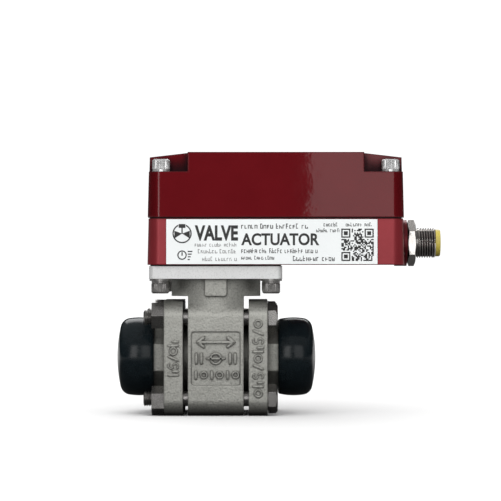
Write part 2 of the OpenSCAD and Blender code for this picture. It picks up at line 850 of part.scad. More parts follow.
module pad_screws() {
    play = 0.1;
    head_r = pad_screw_r * 1.85 - play;
    head_t = pad_screw_r * 1.1;
    length = 10;
    color([0.6, 0.6, 0.62]) for (a = [45 : 90 : 315])
        rotate([0, 0, a]) translate([pad_pcd / 2, 0, plate_top - play]) difference() {
            union() {
                translate([0, 0, play - head_t])
                    cylinder(r1 = pad_screw_r - play, r2 = head_r - play, h = head_t - play);
                translate([0, 0, -length]) cylinder(r = pad_screw_r, h = length - head_t + 2 * play);
            }
            translate([0, 0, -1.8]) cylinder(r = 1.7, h = 3, $fn = 6);
        }
}

// Places a piece under the plate, upside down
module under_plate(drop) {
    at_places(plate_screw_places, plate_z - drop) mirror([0, 0, 1]) children();
}

module plate_screws() {
    color([0.1, 0.1, 0.1]) under_plate(washer_t + lock_washer_t)
        socket_screw(screw_r, screw_head_r, screw_head_t, plate_screw_len);
}

module plate_washers() {
    color([0.2, 0.2, 0.21]) under_plate(0) ring(screw_head_r + 0.7, screw_r + 0.15, washer_t);
}

module plate_lock_washers() {
    color([0.14, 0.14, 0.14]) under_plate(washer_t) split_washer(lock_washer_t);
}

module split_washer(t) {
    difference() {
        ring(screw_head_r - 0.1, screw_r + 0.15, t);
        rotate([20, 0, 35]) translate([2, -0.25, -t]) cube([4, 0.5, 4 * t]);
    }
}

// ---------------------------------------------------------------- housing

// Inset of the leaning wall at height h above the bottom of its shell
function lean_at(h) = h * tan(side_draft);

// Screw column in a corner, from z0 to z1
module corner_columns(z0, z1) {
    at_places(cover_screw_places, z0) cylinder(r = column_r, h = z1 - z0);
}

module base_cavity() {
    rounded_block(housing_x0 + wall, housing_x1 - wall, housing_y - wall, floor_z, rim_z + eps, 2);
}

module base_inner_features() {
    corner_columns(floor_z - 1, rim_z);
    at_places(plate_screw_places, floor_z - 1) cylinder(r = column_r, h = plate_screw_len - floor_t);
    translate([0, 0, floor_z - 1]) cylinder(r = bearing_boss_r, h = bearing_top - floor_z + 1);
    translate([axle_x, 0, floor_z - 1]) cylinder(r = axle_r + 2.5, h = axle_boss_top - floor_z + 1);
    translate([connector_pad_x, -connector_boss_r, floor_z - 1])
        cube([
            housing_x1 - wall - connector_pad_x + 1,
            2 * connector_boss_r,
            connector_z + connector_boss_r - floor_z + 1
        ]);
}

module base_housing() {
    screw_len = plate_screw_len - washer_t - lock_washer_t - plate_t - plate_gasket_t;
    thread_len = cover_screw_len() - (notch_z - rim_z) + lock_washer_t;
    color([0.62, 0.1, 0.12]) difference() {
        union() {
            difference() {
                drafted_block(housing_x0, housing_x1, housing_y, base_z, rim_z, housing_corner_r);
                base_cavity();
            }
            intersection() {
                base_inner_features();
                translate([0, 0, -0.01])
                    drafted_block(
                        housing_x0 + 1, housing_x1 - 1, housing_y - 1,
                        base_z, rim_z + 0.01, housing_corner_r - 1
                    );
            }
            translate([housing_x1 - wall, 0, connector_z]) along_x()
                cylinder(r = connector_boss_r, h = wall + connector_boss_t);
        }
        translate([0, 0, base_z - eps]) cylinder(r = bush_r, h = bearing_top - base_z + 2 * eps);
        at_places(plate_screw_places, base_z - eps)
            cylinder(r = screw_r + seat_fit, h = screw_len + 1 + eps);
        at_places(cover_screw_places, rim_z - thread_len - 1)
            cylinder(r = screw_r + seat_fit, h = thread_len + 2 + eps);
        translate([axle_x, 0, base_z + 1.2]) cylinder(r = axle_r + seat_fit, h = base_h);
        translate([connector_pad_x - eps, 0, connector_z]) along_x()
            cylinder(r = rear_thread_r + seat_fit, h = connector_boss_x - connector_pad_x + 2 * eps);
        at_places(standoff_places, floor_z - standoff_stud_len())
            cylinder(r = small_screw_r + seat_fit, h = standoff_stud_len() + eps);
        at_places(standoff_places, floor_z)
            cylinder(r = standoff_r + 0.15, h = base_h);
    }
}

// Outer form of the cover with its sloping ends and corner notches, grown inwards by inset
module cover_form(inset, z0) {
    slope_x0 = housing_x0 + notch_len;
    slope_x1 = housing_x1 - notch_len;
    x0 = housing_x0 + inset;
    x1 = housing_x1 - inset;
    drop0 = top_drop * (slope_x0 - x0) / notch_len;
    top = top_z - inset;
    intersection() {
        if (inset == 0)
            drafted_block(x0 + 0.1, x1 - 0.1, housing_y - 0.1, z0, top, housing_corner_r);
        else
            rounded_block(x0 + 0.4, x1 - 0.4, housing_y - inset - 0.4, z0, top, 2);
        translate([0, housing_y + 1, 0]) rotate([90, 0, 0]) linear_extrude(housing_w + 2)
            polygon([
                [x0, z0 - 1], [x1, z0 - 1], [x1, top - drop0], [slope_x1, top],
                [slope_x0, top], [x0, top - drop0]
            ]);
    }
}

// The four corner notches, grown by grow on every inner side
module cover_notches(grow) {
    reach = 10;
    for (sy = [-1, 1]) {
        y0 = sy > 0 ? housing_y - notch_w - grow : -housing_y - reach;
        translate([housing_x0 - reach, y0, notch_z - grow])
            cube([notch_len + reach + grow, notch_w + reach + grow, cover_h]);
        translate([housing_x1 - notch_len - grow, y0, notch_z - grow])
            cube([notch_len + reach + grow, notch_w + reach + grow, cover_h]);
    }
}

module cover_housing() {
    color([0.4, 0.06, 0.09]) difference() {
        cover_form(0, cover_z);
        cover_notches(0);
        difference() {
            cover_form(wall, cover_z - 0.01);
            cover_notches(wall);
            corner_columns(cover_z - 1, top_z);
        }
        at_places(cover_screw_places, cover_z - eps)
            cylinder(r = screw_r + 0.2, h = cover_h + 2 * eps);
    }
}

module cover_gasket() {
    color([0.08, 0.08, 0.08]) difference() {
        rounded_block(housing_x0 + 1, housing_x1 - 1, housing_y - 1, rim_z, cover_z, housing_corner_r - 1);
        difference() {
            rounded_block(housing_x0 + wall + 0.4, housing_x1 - wall - 0.4, housing_y - wall - 0.4,
                rim_z - eps, cover_z + eps, 2);
            corner_columns(rim_z - 1, cover_z + 1);
        }
        at_places(cover_screw_places, rim_z - eps)
            cylinder(r = screw_r + 0.2, h = cover_gasket_t + 2 * eps);
    }
}

function cover_screw_len() = notch_floor_h + 9;

function standoff_stud_len() = floor_t - 1;

module cover_screws() {
    color([0.85, 0.85, 0.85]) at_places(cover_screw_places, notch_z + lock_washer_t)
        socket_screw(screw_r, screw_head_r, screw_head_t, cover_screw_len());
}

module cover_washers() {
    color([0.8, 0.8, 0.8]) at_places(cover_screw_places, notch_z) split_washer(lock_washer_t);
}

module rating_label() {
    h0 = 0.3;
    h1 = base_h - 0.3;
    y0 = -housing_y + lean_at(h0);
    y1 = -housing_y + lean_at(h1);
    color([0.9, 0.91, 0.91]) translate([housing_x0 + label_start, 0, base_z]) along_x()
        linear_extrude(label_len)
            polygon([[y0, h0], [y1, h1], [y1 - label_t, h1], [y0 - label_t, h0]]);
}

// ---------------------------------------------------------------- drive train

module output_shaft() {
    socket_depth = stem_top - hub_z + 0.3;
    color([0.7, 0.7, 0.7]) difference() {
        union() {
            translate([0, 0, hub_z]) cylinder(r = hub_r, h = ring_z - hub_z);
            translate([0, 0, ring_z - 0.1]) cylinder(r = hub_r - 0.5, h = ring_t + 0.2);
            translate([0, 0, ring_z + ring_t]) cylinder(r = hub_r, h = gear_z - ring_z - ring_t);
            translate([0, 0, gear_z]) gear_seat(0);
            translate([0, 0, gear_z]) cylinder(r = shaft_r - 0.7, h = output_gear_t);
            translate([0, 0, gear_z + output_gear_t])
                cylinder(r = shaft_r, h = shaft_top - gear_z - output_gear_t);
        }
        translate([-stem_square / 2 - socket_play, -stem_square / 2 - socket_play, hub_z - eps])
            cube([stem_square + 2 * socket_play, stem_square + 2 * socket_play, socket_depth + eps]);
    }
}

// Round seat with two flats that carries the output gear
module gear_seat(play) {
    intersection() {
        cylinder(r = gear_seat_r + play, h = output_gear_t);
        translate([-gear_seat_r - 1, -gear_flat - play, 0])
            cube([2 * gear_seat_r + 2, 2 * gear_flat + 2 * play, output_gear_t]);
    }
}

module lower_bush() {
    color([0.72, 0.55, 0.3]) translate([0, 0, hub_z + seal_t])
        ring(bush_r - seat_fit, hub_r + running_fit, bearing_top - hub_z - seal_t);
}

module shaft_seal() {
    color([0.1, 0.1, 0.1]) translate([0, 0, base_z])
        ring(bush_r - seat_fit, hub_r + running_fit, seal_t + face_gap - 0.05);
}

module retaining_ring() {
    color([0.3, 0.3, 0.32]) translate([0, 0, ring_z]) difference() {
        ring(hub_r + 1.6, hub_r - 0.5 + seat_fit, ring_t - 0.05);
        translate([0, -1.5, -eps]) cube([hub_r + 3, 3, ring_t + 2 * eps]);
    }
}

module output_gear() {
    color([0.75, 0.7, 0.5]) translate([0, 0, gear_z]) difference() {
        gear_blank(output_module, output_teeth, output_gear_t);
        translate([0, 0, -eps]) scale([1, 1, 2]) gear_seat(seat_fit);
        for (a = [30 : 60 : 330]) rotate([0, 0, a])
            translate([output_pitch_r * 0.6, 0, -eps]) cylinder(r = 3, h = output_gear_t + 2 * eps);
    }
}

module upper_bush() {
    color([0.72, 0.55, 0.3]) difference() {
        union() {
            translate([0, 0, gear_plate_z]) cylinder(r = shaft_r + bush_wall, h = gear_plate_t);
            translate([0, 0, gear_plate_top]) cylinder(r = shaft_r + bush_wall + 2, h = 0.8);
        }
        translate([0, 0, gear_plate_z - eps])
            cylinder(r = shaft_r + running_fit, h = gear_plate_t + 2);
    }
}

module intermediate_gear() {
    color([0.78, 0.74, 0.6]) translate([axle_x, 0, 0]) difference() {
        union() {
            translate([0, 0, pinion_z])
                gear_blank(output_module, pinion_teeth, wheel_z - pinion_z + 0.1, 180 + 180 / pinion_teeth);
            translate([0, 0, wheel_z]) gear_blank(motor_module, wheel_teeth, wheel_t);
        }
        translate([0, 0, pinion_z - eps])
            cylinder(r = axle_r + running_fit, h = wheel_z + wheel_t - pinion_z + 2 * eps);
    }
}

module intermediate_axle() {
    color([0.8, 0.8, 0.8]) translate([axle_x, 0, base_z + 1.2])
        cylinder(r = axle_r, h = gear_plate_top - base_z - 1.2);
}

module gear_plate() {
    color([0.75, 0.75, 0.76]) difference() {
        union() {
            rounded_block(plate_x0, plate_step_x, plate_wide_y, gear_plate_z, gear_plate_top, 2);
            rounded_block(plate_step_x - 6, plate_x1, plate_narrow_y, gear_plate_z, gear_plate_top, 2);
            rounded_block(motor_x - 5, motor_x + 5, motor_ear_y + 3.2, gear_plate_z, gear_plate_top, 2);
        }
        translate([0, 0, gear_plate_z - eps])
            cylinder(r = shaft_r + bush_wall + seat_fit, h = gear_plate_t + 2 * eps);
        translate([axle_x, 0, gear_plate_z - eps])
            cylinder(r = axle_r + seat_fit, h = gear_plate_t + 2 * eps);
        translate([motor_x, 0, gear_plate_z - eps])
            cylinder(r = pilot_r + seat_fit, h = gear_plate_t + 2 * eps);
        at_places(concat(standoff_places, board_places), gear_plate_z - eps)
            cylinder(r = small_screw_r + seat_fit, h = gear_plate_t + 2 * eps);
        at_places(motor_ear_places(), gear_plate_z - eps)
            cylinder(r = small_screw_r + seat_fit, h = gear_plate_t + 2 * eps);
    }
}

function motor_ear_places() = [[motor_x, -motor_ear_y], [motor_x, motor_ear_y]];

module gear_plate_standoffs() {
    color([0.8, 0.8, 0.8]) at_places(standoff_places, floor_z) difference() {
        union() {
            cylinder(r = standoff_r, h = gear_plate_h);
            translate([0, 0, 0.2 - standoff_stud_len()])
                cylinder(r = small_screw_r, h = standoff_stud_len());
        }
        translate([0, 0, gear_plate_h - 7]) cylinder(r = small_screw_r + seat_fit, h = 8);
    }
}

module gear_plate_screws() {
    color([0.6, 0.6, 0.6]) at_places(standoff_places, gear_plate_top)
        pan_screw(small_screw_r, small_head_r, small_head_t, gear_plate_t + 5);
}

// ---------------------------------------------------------------- motor

module motor_can() {
    color([0.78, 0.78, 0.78]) translate([motor_x, 0, motor_z]) difference() {
        cylinder(r = motor_r, h = motor_h);
        translate([0, 0, -eps]) cylinder(r = motor_r - motor_wall, h = motor_h - motor_wall + eps);
        cylinder(r = motor_shaft_r + running_fit, h = motor_h + eps);
    }
}

module motor_flange() {
    color([0.7, 0.7, 0.7]) translate([motor_x, 0, 0]) difference() {
        union() {
            translate([0, 0, gear_plate_top]) cylinder(r = motor_r, h = motor_flange_t);
            rounded_block(-4, 4, motor_ear_y + 3, gear_plate_top, motor_z, 2);
            translate([0, 0, gear_plate_z]) cylinder(r = pilot_r, h = gear_plate_t + 0.1);
        }
        translate([0, 0, gear_plate_z - eps]) cylinder(r = motor_shaft_r + running_fit, h = 6);
        for (sy = [-1, 1]) translate([0, sy * motor_ear_y, gear_plate_top - eps])
            cylinder(r = small_screw_r + 0.1, h = motor_flange_t + 2 * eps);
    }
}

module motor_coil() {
    color([0.7, 0.35, 0.12]) translate([motor_x, 0, motor_z])
        ring(motor_r - motor_wall - seat_fit, rotor_r + 0.3, motor_h - motor_wall - 1.5);
}

module motor_rotor() {
    color([0.3, 0.3, 0.32]) translate([motor_x, 0, motor_z + 0.6])
        ring(rotor_r, motor_shaft_r + seat_fit, motor_h - motor_wall - 2.6);
}

module motor_shaft() {
    color([0.85, 0.85, 0.85]) translate([motor_x, 0, motor_pinion_z - 0.5])
        cylinder(r = motor_shaft_r, h = motor_top - motor_pinion_z + 1);
}

module motor_pinion() {
    color([0.78, 0.6, 0.3]) translate([motor_x, 0, motor_pinion_z]) difference() {
        gear_blank(motor_module, motor_teeth, motor_pinion_top - motor_pinion_z);
        translate([0, 0, -eps]) cylinder(r = motor_shaft_r + seat_fit, h = 8);
    }
}

module motor_screws() {
    color([0.6, 0.6, 0.6]) at_places(motor_ear_places(), motor_z)
        pan_screw(small_screw_r, small_head_r, small_head_t, motor_flange_t + gear_plate_t);
}

module position_magnet() {
    color([0.45, 0.45, 0.48]) translate([0, 0, shaft_top]) cylinder(r = magnet_r, h = magnet_t);
}

// ---------------------------------------------------------------- electronics

module control_board() {
    color([0.05, 0.32, 0.16]) difference() {
        rounded_block(board_x0, board_x1, board_w / 2, board_z, board_top, 1.5);
        at_places(board_places, board_z - eps)
            cylinder(r = small_screw_r + 0.1, h = board_t + 2 * eps);
    }
}

// Box standing on the board, centred on x and y
module board_box(x, y, size) {
    translate([x - size[0] / 2, y - size[1] / 2, board_top]) cube(size);
}

module board_components() {
    color([0.15, 0.15, 0.16]) {
        translate([-2.5, -2.5, sensor_z]) cube([5, 5, board_z - sensor_z]);
        board_box(-1, 3, [10, 10, 1.4]);
        board_box(12, 6.5, [6, 6, 1.2]);
        board_box(21, 2, [8, 5, 2.4]);
        board_box(-10, 2, [4, 3.2, 1.1]);
        for (k = [0 : 4]) board_box(4 + 3.2 * k, -9, [1.6, 0.8, 0.6]);
        for (k = [0 : 1]) translate([2 + 10 * k, 14, board_top]) cylinder(r = 3, h = 6 + k);
        terminal_block();
        board_box(board_x1 - header_d / 2 - 0.5, 0, [header_d, header_w, header_h]);
    }
}

module terminal_block() {
    y0 = -board_w / 2 + 0.2;
    difference() {
        translate([terminal_x0, y0, board_top]) cube([terminal_w, terminal_d, terminal_h]);
        for (k = [0 : pin_count - 1])
            translate([terminal_slot_x(k), y0 + terminal_d / 2, board_top + terminal_h - 1])
                cylinder(r = 1.5, h = 2);
    }
}

function terminal_slot_x(k) = terminal_x0 + terminal_w - 2.5 - k * (terminal_w - 5) / (pin_count - 1);

module board_standoffs() {
    color([0.8, 0.8, 0.78]) at_places(board_places, gear_plate_top)
        ring(standoff_r, small_screw_r + seat_fit, board_h);
}

module board_screws() {
    color([0.6, 0.6, 0.6]) at_places(board_places, board_top)
        pan_screw(small_screw_r, small_head_r, small_head_t, board_t + board_h + gear_plate_t - 0.2);
}

// ---------------------------------------------------------------- connector

// Round bar along X on the connector axis
module connector_cylinder(x0, x1, r) {
    translate([x0, 0, connector_z]) along_x() cylinder(r = r, h = x1 - x0);
}

module connector_shell() {
    color([0.78, 0.76, 0.7]) difference() {
        union() {
            connector_cylinder(connector_pad_x, hex_x + 0.1, rear_thread_r);
            intersection() {
                translate([hex_x, 0, connector_z]) along_x() hex_prism(connector_af, connector_hex_t);
                translate([hex_x, 0, connector_z]) along_x()
                    cylinder(r1 = connector_af / 2 * 0.99, r2 = connector_af, h = connector_af / 2);
            }
            connector_cylinder(thread_x - 0.1, thread_end_x - 0.5, connector_thread_r);
            translate([thread_end_x - 0.5, 0, connector_z]) along_x()
                cylinder(r1 = connector_thread_r, r2 = connector_thread_r - 0.4, h = 0.5);
        }
        connector_cylinder(connector_pad_x - eps, thread_end_x + eps, insert_r + seat_fit);
    }
}

module connector_seal() {
    color([0.08, 0.08, 0.08]) translate([connector_boss_x, 0, connector_z]) along_x()
        ring(connector_af / 2 - 0.4, rear_thread_r + seat_fit, connector_seal_t);
}

module connector_insert() {
    color([0.72, 0.64, 0.22]) difference() {
        union() {
            connector_cylinder(insert_rear_x, insert_end_x - 0.4, insert_r);
            translate([insert_end_x - 0.4, 0, connector_z]) along_x()
                cylinder(r1 = insert_r, r2 = insert_r - 0.3, h = 0.4);
        }
        connector_cylinder(cup_floor_x, insert_end_x + eps, cup_r);
        for (p = pin_places) translate([insert_rear_x - eps, p[0], connector_z + p[1]])
            along_x() cylinder(r = pin_r + seat_fit, h = insert_end_x - insert_rear_x);
    }
}

module connector_pins() {
    color([0.85, 0.68, 0.3]) for (p = pin_places)
        translate([pin_rear_x, p[0], connector_z + p[1]]) along_x() {
            cylinder(r = pin_r, h = pin_end_x - pin_rear_x - pin_r);
            translate([0, 0, pin_end_x - pin_rear_x - pin_r]) sphere(pin_r, $fn = 24);
        }
}

// Leads from the connector pins, under the gears and up to the terminal block
module connector_leads() {
    block_y = -board_w / 2 + 0.2;
    side_y = -board_w / 2 - 1.7;
    rise_x = axle_x + 12;
    pitch = 1.6;
    lead_order = [0, 2, 3, 1];
    color([0.35, 0.2, 0.12]) for (k = [0 : pin_count - 1]) {
        start = [pin_rear_x, pin_places[k][0], connector_z + pin_places[k][1]];
        level = board_top + 1.4 + pitch * lead_order[k];
        x = rise_x + pitch * lead_order[k];
        end_x = terminal_slot_x(lead_order[k]);
        lead([
            start,
            start - [4, 0, 0],
            [x, side_y + 3, start[2]],
            [x, side_y, gear_plate_z],
            [x, side_y, level],
            [end_x, side_y, level],
            [end_x, block_y, level]
        ], lead_r, 0.7);
    }
}

module motor_leads() {
    level = board_top + 2.2;
    pitch = 2.4;
    color([0.7, 0.1, 0.1]) for (k = [0 : 3]) {
        y = (k - 1.5) * pitch;
        can_x = motor_x - sqrt(motor_r * motor_r - y * y) - lead_play;
        header_x = board_x1 - 0.5;
        lead([
            [can_x, y, level],
            [(can_x + header_x) / 2, y, level - 0.4],
            [header_x + lead_play, y, level]
        ], 0.45, 0.3);
    }
}

// ---------------------------------------------------------------- assembly

valve_body();
left_end_fitting();
right_end_fitting();
body_bolts();
body_nuts();
ball();
left_seat();
right_seat();
body_seals();
stem();
stem_thrust_washer();
stem_packing();
gland_ring();
belleville_washers();
stem_nut();
left_dust_cap();
right_dust_cap();
mounting_plate();
plate_gasket();
plate_screws();
plate_washers();
plate_lock_washers();
pad_screws();
base_housing();
cover_housing();
cover_gasket();
cover_screws();
cover_washers();
output_shaft();
lower_bush();
shaft_seal();
retaining_ring();
output_gear();
upper_bush();
intermediate_gear();
intermediate_axle();
gear_plate();
gear_plate_standoffs();
gear_plate_screws();
motor_can();
motor_flange();
motor_coil();
motor_rotor();
motor_shaft();
motor_pinion();
motor_screws();
position_magnet();
control_board();
board_components();
board_standoffs();
board_screws();
connector_shell();
connector_seal();
connector_insert();
connector_pins();
connector_leads();
motor_leads();
rating_label();
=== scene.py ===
"""Looks of a motorized valve actuator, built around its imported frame. Lengths are in metres."""
import bmesh
import bpy
import json
import math
import random
from mathutils import Matrix, Vector


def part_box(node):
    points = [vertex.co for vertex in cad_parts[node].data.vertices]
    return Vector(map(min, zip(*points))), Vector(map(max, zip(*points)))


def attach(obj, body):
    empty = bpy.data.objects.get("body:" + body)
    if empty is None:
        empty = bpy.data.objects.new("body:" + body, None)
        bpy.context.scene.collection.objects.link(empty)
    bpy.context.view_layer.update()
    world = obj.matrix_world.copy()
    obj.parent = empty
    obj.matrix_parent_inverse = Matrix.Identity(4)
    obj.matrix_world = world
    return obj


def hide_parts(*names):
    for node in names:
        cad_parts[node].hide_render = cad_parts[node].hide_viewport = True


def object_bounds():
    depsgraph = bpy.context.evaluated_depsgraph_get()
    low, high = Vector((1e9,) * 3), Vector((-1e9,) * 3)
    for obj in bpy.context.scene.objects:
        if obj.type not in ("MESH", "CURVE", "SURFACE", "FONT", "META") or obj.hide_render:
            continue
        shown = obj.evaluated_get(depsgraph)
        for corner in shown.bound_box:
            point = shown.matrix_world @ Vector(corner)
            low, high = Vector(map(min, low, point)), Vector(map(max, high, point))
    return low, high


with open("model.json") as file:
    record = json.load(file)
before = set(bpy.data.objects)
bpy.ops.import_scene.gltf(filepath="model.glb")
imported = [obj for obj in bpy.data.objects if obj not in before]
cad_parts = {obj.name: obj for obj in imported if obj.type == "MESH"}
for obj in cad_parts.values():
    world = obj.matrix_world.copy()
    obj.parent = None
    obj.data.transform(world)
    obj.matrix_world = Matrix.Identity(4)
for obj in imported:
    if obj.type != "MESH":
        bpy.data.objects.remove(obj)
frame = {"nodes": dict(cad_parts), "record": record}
cad_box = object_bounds()
nodes = frame["nodes"]
scene = bpy.context.scene
rng = random.Random(7)
MM = 0.001


# ------------------------------------------------------------------ mesh tools

def round_ring(height, radius, count):
    """Points round the Z axis. The radius is a number, or a function of the angle."""
    points = []
    for k in range(count):
        angle = 2 * math.pi * k / count
        r = radius(angle) if callable(radius) else radius
        points.append(Vector((r * math.cos(angle), r * math.sin(angle), height)))
    return points


def hexagon(across_flats, circle):
    """Radius of a hexagon that a turned chamfer cuts back to a circle."""
    def radius(angle):
        off_flat = (angle + math.pi / 6) % (math.pi / 3) - math.pi / 6
        return min(circle, across_flats / 2 / math.cos(off_flat))
    return radius


def fluted(radius, depth, flutes):
    """Radius of a knurled edge: flat lands between round-bottomed grooves."""
    def at(angle):
        wave = 0.5 + 0.5 * math.cos(angle * flutes)
        return radius - depth * (1 - wave) ** 1.6
    return at


def threaded(radius, depth, height, pitch):
    """Radius of a screw thread at one height, with rounded crests and roots."""
    def at(angle):
        wave = 0.5 - 0.5 * math.cos(2 * math.pi * height / pitch - angle)
        return radius - depth * wave
    return at


def thread_rings(z0, z1, radius, depth, pitch, count, fade=1.0, fineness=10):
    """Rings of a screw thread that runs out over a share of a turn at both ends."""
    steps = round((z1 - z0) / pitch * fineness)
    rings = []
    for k in range(steps + 1):
        z = z0 + (z1 - z0) * k / steps
        share = min(1, (z - z0) / (fade * pitch), (z1 - z) / (fade * pitch))
        rings.append(round_ring(z, threaded(radius, depth * max(share, 0), z, pitch), count))
    return rings


def skin(bm, rings, place=Matrix.Identity(4), loop=False):
    """Joins rings of equal length into a closed surface: a loop, or one with its two ends capped."""
    loops = [[bm.verts.new(place @ p) for p in ring] for ring in rings]
    pairs = list(zip(loops, loops[1:]))
    if loop:
        pairs.append((loops[-1], loops[0]))
    for low, high in pairs:
        for k in range(len(low)):
            n = (k + 1) % len(low)
            bm.faces.new((low[k], low[n], high[n], high[k]))
    if not loop:
        bm.faces.new(list(reversed(loops[0])))
        bm.faces.new(loops[-1])


def along(point, axis):
    """A frame at a point, with its Z axis along the given direction."""
    turn = Vector(axis).to_track_quat("Z", "Y").to_matrix().to_4x4()
    return Matrix.Translation(point) @ turn


def make_piece(name, bm, body, material, replaces=(), sharp=32):
    """Turns a mesh into a piece that rides on a body, smooth up to the given angle."""
    bmesh.ops.recalc_face_normals(bm, faces=bm.faces)
    mesh = bpy.data.meshes.new(name)
    bm.to_mesh(mesh)
    bm.free()
    mesh.shade_smooth()
    mesh.set_sharp_from_angle(angle=math.radians(sharp))
    mesh.materials.append(material)
    piece = bpy.data.objects.new(name, mesh)
    scene.collection.objects.link(piece)
    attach(piece, body)
    if replaces:
        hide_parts(*replaces)


# ------------------------------------------------------------------ material tools

class Finish:
    """A material, with short calls for the nodes that the finishes share."""

    def __init__(self, name, **sockets):
        self.material = bpy.data.materials.new(name)
        self.material.use_nodes = True
        self.tree = self.material.node_tree
        self.surface = self.tree.nodes["Principled BSDF"]
        for socket, value in sockets.items():
            self.surface.inputs[socket.replace("_", " ")].default_value = value
        self.place = self.add("ShaderNodeTexCoord").outputs["Object"]
        self.normal = None

    def add(self, kind, inputs=None, **settings):
        """Adds a node; each input is a socket to link from, or a plain value."""
        node = self.tree.nodes.new(kind)
        for key, value in settings.items():
            setattr(node, key, value)
        for key, value in (inputs or {}).items():
            if isinstance(value, bpy.types.NodeSocket):
                self.tree.links.new(value, node.inputs[key])
            else:
                node.inputs[key].default_value = value
        return node

    def noise(self, size, detail, rough, stretch=None):
        """Soft noise whose lumps are about the given size in millimetres."""
        place = self.place
        if stretch:
            place = self.add("ShaderNodeMapping", {"Vector": place, "Scale": stretch}).outputs[0]
        return self.add("ShaderNodeTexNoise", {
            "Vector": place, "Scale": 1 / (size * MM), "Detail": detail, "Roughness": rough}).outputs[0]

    def cells(self, size):
        """Distance from the middle of rounded cells of about the given size in millimetres."""
        return self.add("ShaderNodeTexVoronoi", {
            "Vector": self.place, "Scale": 1 / (size * MM)}).outputs["Distance"]

    def ramp(self, value, low, high, start=0.0, end=1.0):
        """Turns a value between low and high into one between start and end."""
        return self.add("ShaderNodeMapRange", {
            "Value": value, "From Min": low, "From Max": high,
            "To Min": start, "To Max": end}).outputs[0]

    def product(self, a, b):
        return self.add("ShaderNodeMath", {0: a, 1: b}, operation="MULTIPLY").outputs[0]

    def blend(self, share, a, b):
        """Mixes two colours: the first at a share of 0, the second at 1."""
        return self.add("ShaderNodeMix", {0: share, 6: a, 7: b}, data_type="RGBA").outputs[2]

    def edges(self, radius, reach=0.25):
        """Rounds sharp edges over a radius in millimetres, and returns 1 on the edges."""
        rounded = self.add("ShaderNodeBevel", {"Radius": radius * MM}, samples=6).outputs[0]
        plain = self.add("ShaderNodeNewGeometry").outputs["Normal"]
        dot = self.add("ShaderNodeVectorMath", {0: rounded, 1: plain}, operation="DOT_PRODUCT")
        self.normal = rounded
        return self.ramp(dot.outputs["Value"], 1.0, 1.0 - reach)

    def hollows(self, reach, closed, open_from=0.9):
        """Returns 1 in narrow hollows and recesses, looking a distance in millimetres around."""
        shelter = self.add("ShaderNodeAmbientOcclusion", {"Distance": reach * MM}, samples=8)
        return self.ramp(shelter.outputs["AO"], open_from, closed)

    def bump(self, height, depth):
        """Raises the surface by a height from 0 to 1, times a depth in millimetres."""
        inputs = {"Height": height, "Distance": depth * MM, "Strength": 1.0}
        if self.normal is not None:
            inputs["Normal"] = self.normal
        self.normal = self.add("ShaderNodeBump", inputs).outputs[0]

    def wear(self, **sockets):
        """Links varying values to the surface's sockets."""
        for socket, value in sockets.items():
            self.tree.links.new(value, self.surface.inputs[socket.replace("_", " ")])

    def done(self):
        if self.normal is not None:
            self.tree.links.new(self.normal, self.surface.inputs["Normal"])
        return self.material


def grey(value, warm=0.0):
    """A grey, or a warmer one with a little more red and less blue."""
    return (value * (1 + warm), value, value * (1 - warm), 1)


def metal(name, dark, light, rough, grain=0.4, depth=0.004, cloud=6.0, edge=0.2, glint=1.25,
          stretch=None, metallic=1.0, hollow_shade=0.0):
    """A bare metal: clouded tone, fine grain, brighter edges that are part wear and part painted
    highlight, and painted shade in its hollows.
    """
    f = Finish(name, Metallic=metallic)
    edge_wear_and_painted_light = f.edges(edge)
    clouds = f.noise(cloud, 4, 0.6)
    fine = f.noise(grain, 2, 0.6, stretch)
    tone = f.blend(f.ramp(clouds, 0.32, 0.68), dark, light)
    tone = f.blend(f.ramp(fine, 0.3, 0.75, 0, 0.35), tone, light)
    # Brighter edges: part wear, part painted highlight.
    bright = tuple(min(c * glint, 1) for c in light[:3]) + (1,)
    tone = f.blend(f.product(edge_wear_and_painted_light, f.ramp(clouds, 0.35, 0.6, 0.4, 1)), tone, bright)
    # Painted shade: the metal darkens in narrow hollows such as thread roots, where shade falls.
    if hollow_shade:
        tone = f.blend(f.hollows(hollow_shade, 0.3, 0.85), tone, (0.035, 0.034, 0.028, 1))
    f.wear(Base_Color=tone)
    f.wear(Roughness=f.ramp(fine, 0.3, 0.7, rough[0], rough[1]))
    f.bump(fine, depth)
    return f.done()


def plastic(name, dark, light, rough, grain=0.5, depth=0.003, edge=0.2, **sockets):
    """A moulded or rubber part: slight mottling, fine texture and scuffed edges."""
    f = Finish(name, **sockets)
    edge_wear_and_painted_light = f.edges(edge)
    clouds = f.noise(5, 4, 0.6)
    fine = f.noise(grain, 2, 0.5)
    scuffed = tuple(min(c * 1.5 + 0.01, 1) for c in light[:3]) + (1,)
    tone = f.blend(f.ramp(clouds, 0.3, 0.7), dark, light)
    f.wear(Base_Color=f.blend(f.product(edge_wear_and_painted_light, f.ramp(fine, 0.4, 0.6, 0.1, 0.7)),
                              tone, scuffed))
    f.wear(Roughness=f.ramp(clouds, 0.3, 0.7, rough[0], rough[1]))
    f.bump(fine, depth)
    return f.done()


# ------------------------------------------------------------------ finishes

